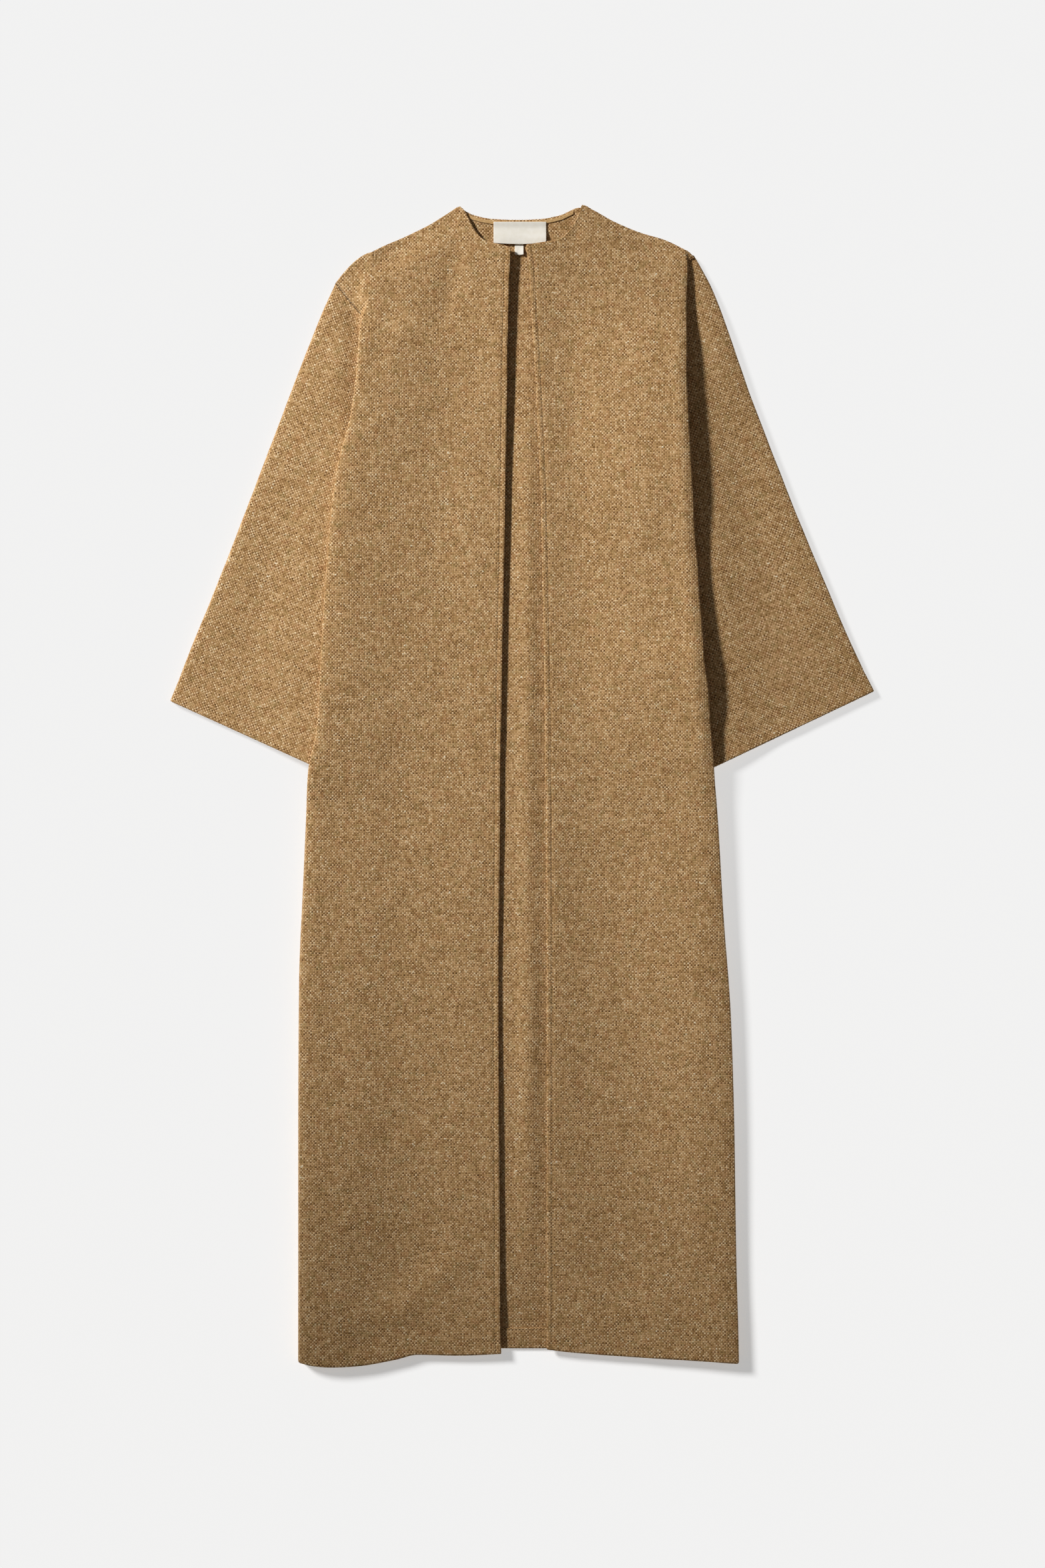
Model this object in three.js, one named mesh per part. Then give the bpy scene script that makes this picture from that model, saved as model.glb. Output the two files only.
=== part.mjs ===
// Open-front abaya in heavy tweed, laid flat on its back with the sleeves drawn down beside the body.
// Millimetres: +X to the wearer's left, +Y from hem to neck, +Z up from the table.
import * as THREE from 'three';

// Cloth and trim
const cloth = 2.2; // wall of the tweed
const half = cloth / 2; // from the middle of the wall to its face
const air = 0.3; // air between pieces that meet
const trimCloth = 1; // wall of the binding and the labels

// Laid depths
const tubeDepth = 5.9; // from a sleeve's lower layer to its upper one
const puffDepth = 2.6; // more than that at the outer fold
const puffReach = 70; // how far in from the fold it dies out
const puffEnds = 0.2; // share of the sleeve's length over which it dies out at both ends
const sleeveRise = 5.4; // how far a sleeve climbs onto the body
const sleeveReach = 90; // length over which it climbs
const foldReach = 150; // width over which a front climbs to its rolled fold
const slumpReach = 19; // width over which it sinks again just before the fold
const edgeReach = 40; // width over which a centre edge lifts
const shoulderReach = 26; // distance over which a front rises from the shoulder seam
const sideInset = 14; // from the rolled side in to the edge of the back

// Hems
const hemTurn = 24.5; // depth of the turned-up hems
const hemRound = 1.7; // radius of the fold at a front's hem
const stripInset = 1; // from the back's hem up to its turned-up strip

// Fronts, a row for each level from shoulder to hem.
// centre: centre edge; side: outermost line of the rolled fold; rest: height of the flat part;
// lift: height of the centre edge; crest: top of the rolled fold; round: its radius;
// turn: how far round it goes, in degrees; under: length of cloth turned under; drop: slant of that length;
// slump: how far the cloth sinks just before the fold.
const frontColumns = [
  'y', 'centre', 'side', 'rest', 'lift', 'crest', 'round', 'turn', 'under', 'drop', 'slump',
];
const rowOf = (columns, row) => Object.fromEntries(columns.map((name, i) => [name, row[i]]));
const rowsOf = (columns, rows) => rows.map((row) => rowOf(columns, row));
const wearersRight = rowsOf(frontColumns, [
  [651, -13.9, -190, 5, 12, 11.6, 6, 2, 44.5, 38, 0],
  [632, -14.9, -190, 5, 11.5, 12.8, 6, 3, 36, 31, 0],
  [613, -15.9, -191, 5, 11.3, 13.8, 5, 5, 24, 24, 0],
  [593, -15.9, -192, 5, 11.2, 14.7, 5, 9, 14, 14, 0],
  [575, -16.9, -196, 5, 11, 16, 4, 50, 2, 5, 0],
  [558, -16.9, -198, 5, 10.9, 18.9, 2.2, 130, 1, 0, 0],
  [540, -17.9, -199, 5, 10.7, 20.2, 2.2, 180, 5, 0, 0],
  [500, -17.9, -202, 5, 10.3, 20.2, 2.2, 180, 14, 0, 0],
  [450, -18.9, -209, 5, 9.7, 20.2, 2.2, 180, 25, 0, 0],
  [389, -19.9, -225, 5, 8.8, 20.2, 2.2, 180, 35, 0, 0],
  [320, -20.9, -234, 5, 8.4, 20.2, 2.2, 180, 38, 0, 0],
  [226, -22.9, -241, 5, 7.7, 20.2, 2.2, 180, 32, 0, 0],
  [124, -24.7, -247, 5, 7.3, 20.2, 2.2, 180, 20, 0, 0],
  [63, -25.7, -251, 5, 7.1, 20.2, 2.2, 180, 10, 0, 0],
  [20, -26.7, -260, 5, 6.9, 20.2, 2.2, 180, 6, 0, 0],
  [-6, -26.7, -262, 5, 6.8, 18, 4, 180, 6, 0, 0],
  [-32, -26.7, -263, 5, 6.7, 16.5, 6, 180, 5, 0, 0],
  [-121, -27.7, -267, 5, 6.3, 16.5, 7.2, 180, 5, 0, 0],
  [-243, -28.7, -272, 5, 5.7, 16.5, 7.2, 180, 5, 0, 0],
  [-426, -27.9, -273, 5, 7, 16.5, 7.2, 180, 5, 0, 0],
  [-589, -26.9, -273, 5.4, 7.7, 16.5, 7.2, 180, 5, 0, 0],
  [-660, -26.7, -273, 10.4, 10.4, 17.6, 7.4, 180, 5, 0, 0],
  [-711, -24.7, -273, 12.6, 12.8, 18, 7.4, 180, 5, 0, 0],
]);
const wearersLeft = rowsOf(frontColumns, [
  [654, 5, 201, 5, 11, 12, 2.4, 3, 11, 9, 0],
  [643, 7, 202, 5, 11.5, 14.4, 2.2, 60, 2, 3, 0],
  [633, 8, 202, 5, 11.5, 16.2, 2.6, 180, 2, 0, 0],
  [613, 9, 200.7, 5, 11.2, 17.6, 2.2, 140, 3.9, 0, 0.6],
  [576, 11.2, 199.8, 5, 10.8, 22.4, 2.2, 140, 8.4, 0, 1.5],
  [544, 13.5, 200, 5, 10.5, 29.2, 2.2, 140, 14.8, 0, 2.4],
  [503, 15.8, 199.2, 5, 10.2, 33.7, 2.2, 140, 19.1, 0, 2.4],
  [463, 17.8, 201, 5, 9.8, 35, 2.2, 140, 21.2, 0, 2.4],
  [410, 20.2, 203.5, 5, 9.4, 36.2, 2.2, 140, 23, 0, 2.4],
  [356, 22.6, 206.8, 5, 8.9, 34.8, 2.2, 140, 20.8, 0, 2.4],
  [307, 23.8, 209.2, 5, 8.6, 31.5, 2.2, 140, 15.7, 0, 2.4],
  [269, 24.5, 212.9, 5, 8.4, 30, 2.2, 140, 13.4, 0, 2.4],
  [226, 25.4, 215.4, 5, 8.2, 31.7, 2.2, 140, 16, 0, 2.4],
  [185, 26.1, 218.7, 5, 8.1, 33.8, 2.2, 140, 19.3, 0, 2.4],
  [153, 26.7, 220.4, 5, 8.1, 36.6, 2.2, 140, 23.6, 0, 2.4],
  [112, 27.4, 226.1, 5, 7.9, 34, 2.2, 140, 19.6, 0, 2.4],
  [71, 28, 228.8, 5, 7.8, 29.4, 2.2, 140, 12.4, 0, 2.4],
  [37, 28, 231.9, 5, 7.7, 27.5, 2.2, 140, 10.1, 0, 2],
  [5, 28, 234, 5, 7.7, 24, 2.2, 140, 4.8, 0, 1],
  [-18, 29, 236, 5, 7.6, 22, 2.4, 115, 14.6, 0, 0.4],
  [-44, 29, 238, 5, 7.6, 21.3, 2.4, 115, 13.8, 0, 0.4],
  [-161, 30, 245, 5, 7.4, 19.5, 2.4, 115, 11.8, 0, 0.4],
  [-284, 30, 254, 5, 7.2, 18, 2.4, 115, 10.2, 0, 0.4],
  [-406, 30, 258, 5, 7.2, 17.2, 2.4, 115, 9.3, 0, 0.4],
  [-589, 30, 261, 5.4, 7.8, 15.8, 2.4, 115, 7.7, 0, 0.4],
  [-660, 30, 263, 10.4, 10.2, 16.4, 2.4, 115, 8.4, 0, 0.4],
  [-710, 30, 264, 12.6, 12.8, 17, 2.4, 115, 9.1, 0, 0.4],
]);

// Top edge of each front, from the centre edge (across 0) by the neck point to the fold (across 1).
const topOfRight = [
  { across: 0, y: 655, height: 12 },
  { across: 0.04, y: 659, height: 11.5 },
  { across: 0.12, y: 662, height: 11 },
  { across: 0.2, y: 667, height: 9.5 },
  { across: 0.27, y: 681, height: 8 },
  { across: 0.34, y: 704, height: 5.6 },
  { across: 0.37, y: 708, height: 4.2 },
  { across: 0.42, y: 703, height: 3.8 },
  { across: 0.58, y: 686, height: 3.8 },
  { across: 0.77, y: 670, height: 4.2 },
  { across: 0.9, y: 660, height: 7.5 },
  { across: 1, y: 651, height: 11.6 },
];
const topOfLeft = [
  { across: 0, y: 660, height: 11 },
  { across: 0.09, y: 663, height: 11 },
  { across: 0.2, y: 667, height: 9.3 },
  { across: 0.28, y: 680, height: 7.8 },
  { across: 0.335, y: 700, height: 5.4 },
  { across: 0.355, y: 710, height: 4.2 },
  { across: 0.42, y: 704, height: 3.8 },
  { across: 0.56, y: 689, height: 3.8 },
  { across: 0.72, y: 676, height: 4 },
  { across: 0.88, y: 666, height: 7.5 },
  { across: 1, y: 654, height: 12 },
];

// Hem line of each front, across as above.
const hemOfRight = [
  { across: 0, y: -693.5 },
  { across: 0.22, y: -695.5 },
  { across: 0.42, y: -694.5 },
  { across: 0.53, y: -700.5 },
  { across: 0.72, y: -708 },
  { across: 0.84, y: -709.3 },
  { across: 0.94, y: -707.6 },
  { across: 1, y: -704 },
];
const hemOfLeft = [
  { across: 0, y: -688 },
  { across: 0.12, y: -691.5 },
  { across: 0.47, y: -697.5 },
  { across: 0.82, y: -702 },
  { across: 1, y: -705 },
];

// Back: shoulder and neck edge from the wearer's right to the left, then its hem.
const backNeckEdge = [
  { x: -176, y: 654.5 },
  { x: -150, y: 667 },
  { x: -117, y: 683.5 },
  { x: -84, y: 702 },
  { x: -77, y: 705.5 },
  { x: -60, y: 698 },
  { x: -35, y: 693 },
  { x: -5, y: 692 },
  { x: 22, y: 693 },
  { x: 46, y: 697.5 },
  { x: 71, y: 707 },
  { x: 95, y: 698 },
  { x: 128, y: 681.5 },
  { x: 160, y: 668.5 },
  { x: 187, y: 656 },
];
const backHem = { right: -700, middle: -691, left: -699, level: 0.27, blend: 0.45 };

// Sleeves: the armhole seam from shoulder to underarm, the outer fold, and the two ends of the cuff.
const rightArmhole = [
  { along: 0, x: -227, y: 615 },
  { along: 0.05, x: -212, y: 599 },
  { along: 0.12, x: -195, y: 573 },
  { along: 0.3, x: -190, y: 520 },
  { along: 0.6, x: -178, y: 430 },
  { along: 1, x: -172, y: 318 },
];
const leftArmhole = [
  { along: 0, x: 209, y: 648 },
  { along: 0.04, x: 198, y: 636 },
  { along: 0.15, x: 196, y: 600 },
  { along: 0.35, x: 188, y: 535 },
  { along: 0.65, x: 178, y: 435 },
  { along: 1, x: 171, y: 330 },
];
const rightOuterFold = [
  { along: 0, x: -227, y: 615 },
  { along: 0.065, x: -242, y: 582 },
  { along: 0.12, x: -254, y: 552 },
  { along: 0.24, x: -278, y: 491 },
  { along: 0.4, x: -309, y: 409 },
  { along: 0.56, x: -340, y: 328 },
  { along: 0.72, x: -372, y: 246 },
  { along: 0.88, x: -405, y: 165 },
  { along: 1, x: -430, y: 102 },
];
const leftOuterFold = [
  { along: 0, x: 209, y: 648 },
  { along: 0.04, x: 217, y: 634 },
  { along: 0.12, x: 233, y: 603 },
  { along: 0.2, x: 252, y: 552 },
  { along: 0.31, x: 273, y: 491 },
  { along: 0.46, x: 304, y: 409 },
  { along: 0.6, x: 336, y: 328 },
  { along: 0.75, x: 370, y: 246 },
  { along: 0.9, x: 405, y: 165 },
  { along: 1, x: 430, y: 114 },
];
const rightCuffInner = { x: -238, y: 15 };
const leftCuffInner = { x: 213, y: 11 };
const rightEdgeRound = 3.4;
const leftEdgeRound = 1.9;
const armholeTop = 600; // level below which a sleeve climbs onto the body
const armholeClimb = 110; // length in which it does so

// Binding and labels inside the back neck
const bindingWidth = 4;
const bindingInset = 2; // rim of tweed left above the binding
const bindingReach = { right: -66, left: 63 };
const brandLabel = { right: -35, left: 29.5, top: 685.2, bottom: 663, bow: 1.2 };
const sizeTab = { right: -9, left: 1.8, top: 661, bottom: 649 };

// Grid stations
const frontAcross = [0, 0.04, 0.12, 0.2, 0.27, 0.34, 0.37, 0.42, 0.5, 0.6, 0.7, 0.78, 0.86, 0.93, 1];
const frontLevels = [
  1, 0.991, 0.98, 0.969, 0.957, 0.945, 0.933, 0.92, 0.895, 0.86, 0.82, 0.77, 0.72, 0.66, 0.6, 0.565, 0.546,
  0.532, 0.52, 0.508, 0.496, 0.475, 0.43, 0.36, 0.28, 0.2, 0.12, 0.06, 0.035, 0.018, 0,
];
const foldSteps = 6; // steps round the rolled fold
const underSteps = 3;
const dropCurve = 1.6; // how the slant of the turned-under cloth grows towards the seam
const hemSteps = 3;
const backAcross = 22;
const snapShare = 0.4; // share of a step within which an even station moves to a row of the neck edge
const stripEnds = 0.01; // share of the width that the turned-up strip stays short at each side
const bindingSteps = 18;
const labelSteps = 4;
const backLevels = [0, 0.02, 0.05, 0.1, 0.2, 0.35, 0.5, 0.65, 0.8, 0.93, 1];
const sleeveAlong = 15;
const sleeveAcross = [0.05, 0.09, 0.15, 0.26, 0.42, 0.6, 0.8, 0.96];
const tubeSteps = 4; // steps round each fold of a sleeve

function smooth(value) {
  const t = Math.min(Math.max(value, 0), 1);
  return t * t * (3 - 2 * t);
}

// Curve through a table's rows that never overshoots them: cubic pieces whose slope at a row is the
// harmonic mean of the slopes on both sides, or zero at a peak. It stays level past both ends.
function curveOf(table, key, column) {
  const rows = [...table].sort((a, b) => a[key] - b[key]);
  const steps = rows.slice(1).map((row, i) => row[key] - rows[i][key]);
  const rates = steps.map((step, i) => (rows[i + 1][column] - rows[i][column]) / step);
  const slopes = rows.map((_, i) => {
    if (i === 0) return rates[0];
    if (i === rows.length - 1) return rates[i - 1];
    const product = rates[i - 1] * rates[i];
    return product > 0 ? (2 * product) / (rates[i - 1] + rates[i]) : 0;
  });
  return (at) => {
    if (at <= rows[0][key]) return rows[0][column];
    if (at >= rows[rows.length - 1][key]) return rows[rows.length - 1][column];
    const i = rows.findIndex((row) => row[key] > at) - 1;
    const t = (at - rows[i][key]) / steps[i];
    const rise = rows[i + 1][column] - rows[i][column];
    const leaving = slopes[i] * steps[i] - rise;
    const arriving = slopes[i + 1] * steps[i] - rise;
    return rows[i][column] + rise * t + t * (1 - t) * ((1 - t) * leaving - t * arriving);
  };
}

function curvesOf(table, key) {
  const columns = Object.keys(table[0]).filter((name) => name !== key);
  return Object.fromEntries(columns.map((name) => [name, curveOf(table, key, name)]));
}

// Normal at each point of a grid: the cross product of the differences between its neighbours.
function gridNormals(grid, ring) {
  const rowCount = grid.length;
  const columnCount = grid[0].length;
  return grid.map((row, i) => row.map((_, j) => {
    const before = ring ? (j + columnCount - 1) % columnCount : Math.max(j - 1, 0);
    const after = ring ? (j + 1) % columnCount : Math.min(j + 1, columnCount - 1);
    const along = grid[Math.min(i + 1, rowCount - 1)][j].clone().sub(grid[Math.max(i - 1, 0)][j]);
    const across = row[after].clone().sub(row[before]);
    return across.cross(along).normalize();
  }));
}

// Closed wall of cloth round a grid of its middle points. A ring's rows close on themselves.
function clothWall(grid, thickness, ring = false) {
  const rowCount = grid.length;
  const columnCount = grid[0].length;
  const layer = rowCount * columnCount;
  const normals = gridNormals(grid, ring);
  const positions = [];
  for (const face of [thickness / 2, -thickness / 2]) {
    grid.forEach((row, i) => row.forEach((point, j) => {
      positions.push(...point.clone().addScaledVector(normals[i][j], face).toArray());
    }));
  }
  const indices = [];
  const quad = (a, b, c, d) => indices.push(a, b, c, a, c, d);
  const at = (i, j) => i * columnCount + (j % columnCount);
  const lastColumn = ring ? columnCount : columnCount - 1;
  for (let i = 0; i < rowCount - 1; i += 1) {
    for (let j = 0; j < lastColumn; j += 1) {
      quad(at(i, j), at(i, j + 1), at(i + 1, j + 1), at(i + 1, j));
      quad(layer + at(i, j), layer + at(i + 1, j), layer + at(i + 1, j + 1), layer + at(i, j + 1));
    }
  }
  for (let j = 0; j < lastColumn; j += 1) {
    const end = rowCount - 1;
    quad(at(0, j + 1), at(0, j), layer + at(0, j), layer + at(0, j + 1));
    quad(at(end, j), at(end, j + 1), layer + at(end, j + 1), layer + at(end, j));
  }
  for (let i = 0; i < rowCount - 1 && !ring; i += 1) {
    const end = columnCount - 1;
    quad(at(i, 0), at(i + 1, 0), layer + at(i + 1, 0), layer + at(i, 0));
    quad(at(i + 1, end), at(i, end), layer + at(i, end), layer + at(i + 1, end));
  }
  const geometry = new THREE.BufferGeometry();
  geometry.setAttribute('position', new THREE.Float32BufferAttribute(positions, 3));
  geometry.setIndex(outward(positions, indices));
  geometry.computeVertexNormals();
  return geometry;
}

// Turns every triangle over where a closed surface encloses a negative volume.
function outward(positions, indices) {
  const corner = (i) => new THREE.Vector3().fromArray(positions, 3 * i);
  let volume = 0;
  for (let i = 0; i < indices.length; i += 3) {
    volume += corner(indices[i]).dot(corner(indices[i + 1]).cross(corner(indices[i + 2])));
  }
  return volume < 0 ? [...indices].reverse() : indices;
}

function piece(name, geometry, color, roughness) {
  const mesh = new THREE.Mesh(geometry, new THREE.MeshStandardMaterial({ color, roughness, metalness: 0 }));
  mesh.name = name;
  return mesh;
}

const tweed = (name, geometry) => piece(name, geometry, '#a3825a', 0.95);
const trim = (name, geometry, color) => piece(name, geometry, color, 0.7);

// A front: flat over the back, lifted at its centre edge, climbing to a rolled fold at the side, where the
// cloth turns under towards the armhole or side seam, and turned up inside along its hem.
function frontGrid(sections, top, hem, outside) {
  const at = curvesOf(sections, 'y');
  const topEdge = curvesOf(top, 'across');
  const hemEdge = curvesOf(hem, 'across');

  const level = (across, share) => hemEdge.y(across) + (topEdge.y(across) - hemEdge.y(across)) * share;

  const surface = (across, share) => {
    const y = level(across, share);
    const foldStart = at.side(y) - outside * at.round(y);
    const x = at.centre(y) + (foldStart - at.centre(y)) * across;
    const fromFold = Math.abs(foldStart - x);
    const fromCentre = Math.abs(x - at.centre(y));
    const climb = (at.crest(y) - at.rest(y)) * (1 - smooth(fromFold / foldReach));
    const curl = (at.lift(y) - at.rest(y)) * (1 - smooth(fromCentre / edgeReach));
    const sunk = at.slump(y) * Math.max(1 - fromFold / slumpReach, 0) ** 2;
    const full = at.rest(y) + climb + curl - sunk;
    const edge = topEdge.height(across);
    const rise = smooth((topEdge.y(across) - y) / shoulderReach);
    return new THREE.Vector3(x, y, edge + (full - edge) * rise);
  };

  const rolled = (share) => {
    const start = surface(1, share);
    const radius = at.round(start.y);
    const turn = THREE.MathUtils.degToRad(at.turn(start.y));
    const length = at.under(start.y);
    const points = [];
    for (let step = 1; step <= foldSteps; step += 1) {
      const angle = (turn * step) / foldSteps;
      const reach = outside * radius * Math.sin(angle);
      points.push(start.clone().add(new THREE.Vector3(reach, 0, radius * (Math.cos(angle) - 1))));
    }
    const foot = points[foldSteps - 1];
    const direction = new THREE.Vector3(outside * Math.cos(turn), 0, -Math.sin(turn));
    for (let step = 1; step <= underSteps; step += 1) {
      const run = step / underSteps;
      const point = foot.clone().addScaledVector(direction, length * run);
      point.y -= at.drop(start.y) * run ** dropCurve;
      points.push(point);
    }
    return points;
  };

  const row = (share) => [...frontAcross.map((across) => surface(across, share)), ...rolled(share)];
  const panel = frontLevels.map(row);
  return [...panel, ...hemTurnUp(panel, outside)];
}

// Rows that carry a panel's hem round a small fold and back up inside the cloth.
function hemTurnUp(panel, outside) {
  const last = panel[panel.length - 1];
  const normals = gridNormals(panel, false).pop().map((normal) => normal.multiplyScalar(-outside));
  const down = new THREE.Vector3(0, -1, 0);
  const rows = [];
  for (let step = 1; step <= hemSteps; step += 1) {
    const angle = (Math.PI * step) / hemSteps;
    rows.push(last.map((point, j) => point.clone()
      .addScaledVector(normals[j], hemRound * (Math.cos(angle) - 1))
      .addScaledVector(down, hemRound * Math.sin(angle))));
  }
  const folded = rows[hemSteps - 1];
  rows.push(folded.map((point) => point.clone().addScaledVector(down, -hemTurn)));
  return rows;
}

// The back: one flat panel on the table under both fronts.
function backPoints(rightSections, leftSections) {
  const rightSide = curveOf(rightSections, 'y', 'side');
  const leftSide = curveOf(leftSections, 'y', 'side');
  const edgeAt = curveOf(backNeckEdge, 'x', 'y');
  const first = backNeckEdge[0].x;
  const width = backNeckEdge[backNeckEdge.length - 1].x - first;
  const neckStations = backNeckEdge.map((row) => (row.x - first) / width);
  const evenStations = Array.from({ length: backAcross + 1 }, (_, i) => i / backAcross);
  const snap = (value) => {
    const nearest = neckStations.reduce((a, b) => (Math.abs(b - value) < Math.abs(a - value) ? b : a));
    return Math.abs(nearest - value) * backAcross < snapShare ? nearest : value;
  };
  const stations = [...new Set(evenStations.map(snap))];

  const point = (share, down) => {
    const topY = edgeAt(first + width * share);
    const middle = 1 - Math.abs(2 * share - 1);
    const sideHem = backHem.right + (backHem.left - backHem.right) * share;
    const hemY = sideHem + (backHem.middle - sideHem) * smooth((middle - backHem.level) / backHem.blend);
    const y = topY + (hemY - topY) * down;
    const right = rightSide(y) + sideInset;
    const left = leftSide(y) - sideInset;
    return new THREE.Vector3(right + (left - right) * share, y, half);
  };
  return { stations, point };
}

function backGrid(back) {
  return backLevels.map((down) => back.stations.map((share) => back.point(share, down)));
}

// Strip along the back's hem, made from its own points, moved up onto the inside of the cloth.
function hemStrip(back) {
  const inside = cloth + air;
  const ends = back.stations.filter((share) => share > stripEnds && share < 1 - stripEnds);
  return [0, 0.5, 1].map((share) => ends.map((station) => {
    const edge = back.point(station, 1);
    return new THREE.Vector3(edge.x, edge.y + stripInset + hemTurn * share, edge.z + inside);
  }));
}

// Sleeve: a flat tube between the armhole seam and the cuff, whose plan is blended from its four edges.
// It rests on the table and climbs onto the body beside the rolled fold of the front. Its outer fold is
// a tight quarter circle, edgeRound in radius, above a fuller quarter circle.
function sleeveGrid(armhole, outerFold, cuffInner, sections, edgeRound) {
  const seam = curvesOf(armhole, 'along');
  const outer = curvesOf(outerFold, 'along');
  const side = curveOf(sections, 'y', 'side');
  const underarm = armhole[armhole.length - 1];
  const cuffOuter = outerFold[outerFold.length - 1];
  const shoulder = outerFold[0];
  const mix = (a, b, t) => a + (b - a) * t;

  const plan = (along, across) => {
    const blend = (name) => {
      const lengthwise = mix(outer[name](along), mix(underarm[name], cuffInner[name], along), across);
      const crosswise = mix(seam[name](across), mix(cuffOuter[name], cuffInner[name], across), along);
      const corners = mix(
        mix(shoulder[name], cuffOuter[name], along),
        mix(underarm[name], cuffInner[name], along),
        across,
      );
      return lengthwise + crosswise - corners;
    };
    return new THREE.Vector2(blend('x'), blend('y'));
  };

  const lowerLayer = (at) => {
    const beyondFold = Math.abs(at.x) - Math.abs(side(at.y));
    const climb = 1 - smooth(beyondFold / sleeveReach);
    return half + sleeveRise * climb * smooth((armholeTop - at.y) / armholeClimb);
  };

  const rows = [];
  for (let i = 0; i <= sleeveAlong; i += 1) {
    const along = i / sleeveAlong;
    const width = plan(along, 0).distanceTo(plan(along, 1));
    const puff = puffDepth * smooth(along / puffEnds) * smooth((1 - along) / puffEnds);
    const depth = (across) => tubeDepth + puff * (1 - smooth((across * width) / puffReach));
    const point = (across, height) => {
      const at = plan(along, across);
      return new THREE.Vector3(at.x, at.y, lowerLayer(at) + height);
    };
    const innerPoint = (step) => {
      const radius = depth(1) / 2;
      const angle = Math.PI * (step / tubeSteps - 0.5);
      return point(1 - (radius * (1 - Math.cos(angle))) / width, radius * (1 + Math.sin(angle)));
    };
    const outerPoint = (step) => {
      const angle = Math.PI * (step / tubeSteps - 0.5);
      const corner = angle < 0 ? edgeRound : depth(0) - edgeRound;
      return point((corner * (1 - Math.cos(angle))) / width, depth(0) - edgeRound - corner * Math.sin(angle));
    };
    const steps = Array.from({ length: tubeSteps + 1 }, (_, step) => step);
    rows.push([
      ...sleeveAcross.map((across) => point(across, 0)),
      ...steps.map(innerPoint),
      ...[...sleeveAcross].reverse().map((across) => point(across, depth(across))),
      ...steps.map(outerPoint),
    ]);
  }
  return rows;
}

// Flat trim on the inside of the back: a grid of plan points lifted just clear of the cloth.
function flatTrim(rows) {
  const height = cloth + air + trimCloth / 2;
  return clothWall(rows.map((row) => row.map(([x, y]) => new THREE.Vector3(x, y, height))), trimCloth);
}

function bindingRows() {
  const edgeAt = curveOf(backNeckEdge, 'x', 'y');
  const span = bindingReach.left - bindingReach.right;
  return [0, 1].map((row) => Array.from({ length: bindingSteps + 1 }, (_, i) => {
    const x = bindingReach.right + (span * i) / bindingSteps;
    return [x, edgeAt(x) - bindingInset - bindingWidth * row];
  }));
}

function labelRows(label) {
  return [0, 1].map((row) => Array.from({ length: labelSteps + 1 }, (_, i) => {
    const share = i / labelSteps;
    const sag = row * (label.bow ?? 0) * Math.sin(Math.PI * share);
    const y = label.top + (label.bottom - label.top) * row - sag;
    return [label.right + (label.left - label.right) * share, y];
  }));
}

const back = backPoints(wearersRight, wearersLeft);
const rightSleeve = sleeveGrid(rightArmhole, rightOuterFold, rightCuffInner, wearersRight, rightEdgeRound);
const leftSleeve = sleeveGrid(leftArmhole, leftOuterFold, leftCuffInner, wearersLeft, leftEdgeRound);
const abaya = new THREE.Group();
abaya.add(
  tweed('back', clothWall(backGrid(back), cloth)),
  tweed('back_hem_turn_up', clothWall(hemStrip(back), cloth)),
  tweed('front_right', clothWall(frontGrid(wearersRight, topOfRight, hemOfRight, -1), cloth)),
  tweed('front_left', clothWall(frontGrid(wearersLeft, topOfLeft, hemOfLeft, 1), cloth)),
  tweed('sleeve_right', clothWall(rightSleeve, cloth, true)),
  tweed('sleeve_left', clothWall(leftSleeve, cloth, true)),
  trim('neck_binding', flatTrim(bindingRows()), '#cdaa73'),
  trim('neck_label', flatTrim(labelRows(brandLabel)), '#e8e3d8'),
  trim('size_tab', flatTrim(labelRows(sizeTab)), '#ebe6dc'),
);

export default abaya;
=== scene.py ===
from functools import partial
import math

import bpy
import numpy as np
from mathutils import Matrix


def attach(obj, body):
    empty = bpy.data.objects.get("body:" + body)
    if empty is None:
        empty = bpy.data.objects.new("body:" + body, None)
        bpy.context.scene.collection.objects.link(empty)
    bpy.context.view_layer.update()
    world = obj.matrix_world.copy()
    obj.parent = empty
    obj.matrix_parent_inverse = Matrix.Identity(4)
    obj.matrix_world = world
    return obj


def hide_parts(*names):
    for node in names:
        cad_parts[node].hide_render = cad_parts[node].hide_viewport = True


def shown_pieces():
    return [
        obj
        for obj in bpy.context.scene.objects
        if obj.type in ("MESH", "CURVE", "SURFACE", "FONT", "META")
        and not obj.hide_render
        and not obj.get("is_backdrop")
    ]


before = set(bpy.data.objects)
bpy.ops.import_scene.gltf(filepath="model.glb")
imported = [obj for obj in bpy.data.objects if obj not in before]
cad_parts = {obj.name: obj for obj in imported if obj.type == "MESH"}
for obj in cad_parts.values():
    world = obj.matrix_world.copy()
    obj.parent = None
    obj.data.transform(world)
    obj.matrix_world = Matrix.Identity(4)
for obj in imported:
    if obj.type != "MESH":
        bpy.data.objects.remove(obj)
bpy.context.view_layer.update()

# Lengths in the tables are millimetres: +X to the wearer's left, +Y hem to neck, +Z up from the table.
mm = 0.001

cloth = {
    "wall": 2.2,  # tweed
    "trim": 1.0,  # tape and labels
    "air": 0.3,  # between layers that lie on each other
    "step": 5.0,  # spacing of the mesh's stations
    "edge": [0, 0.25, 0.7, 1.4, 2.4],  # stations in from a border, which round it off
}
weave = {
    "warp": 2.04,  # yarn spacing across the cloth
    "weft": 2.11,  # yarn spacing along it
    "sleeveTilt": 24.5,  # degrees that a sleeve's grain leans out
}


# shapes
def smooth(value):
    # 3t2 - 2t3, with t held between 0 and 1
    t = np.clip(value, 0, 1)
    return t * t * (3 - 2 * t)


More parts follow.
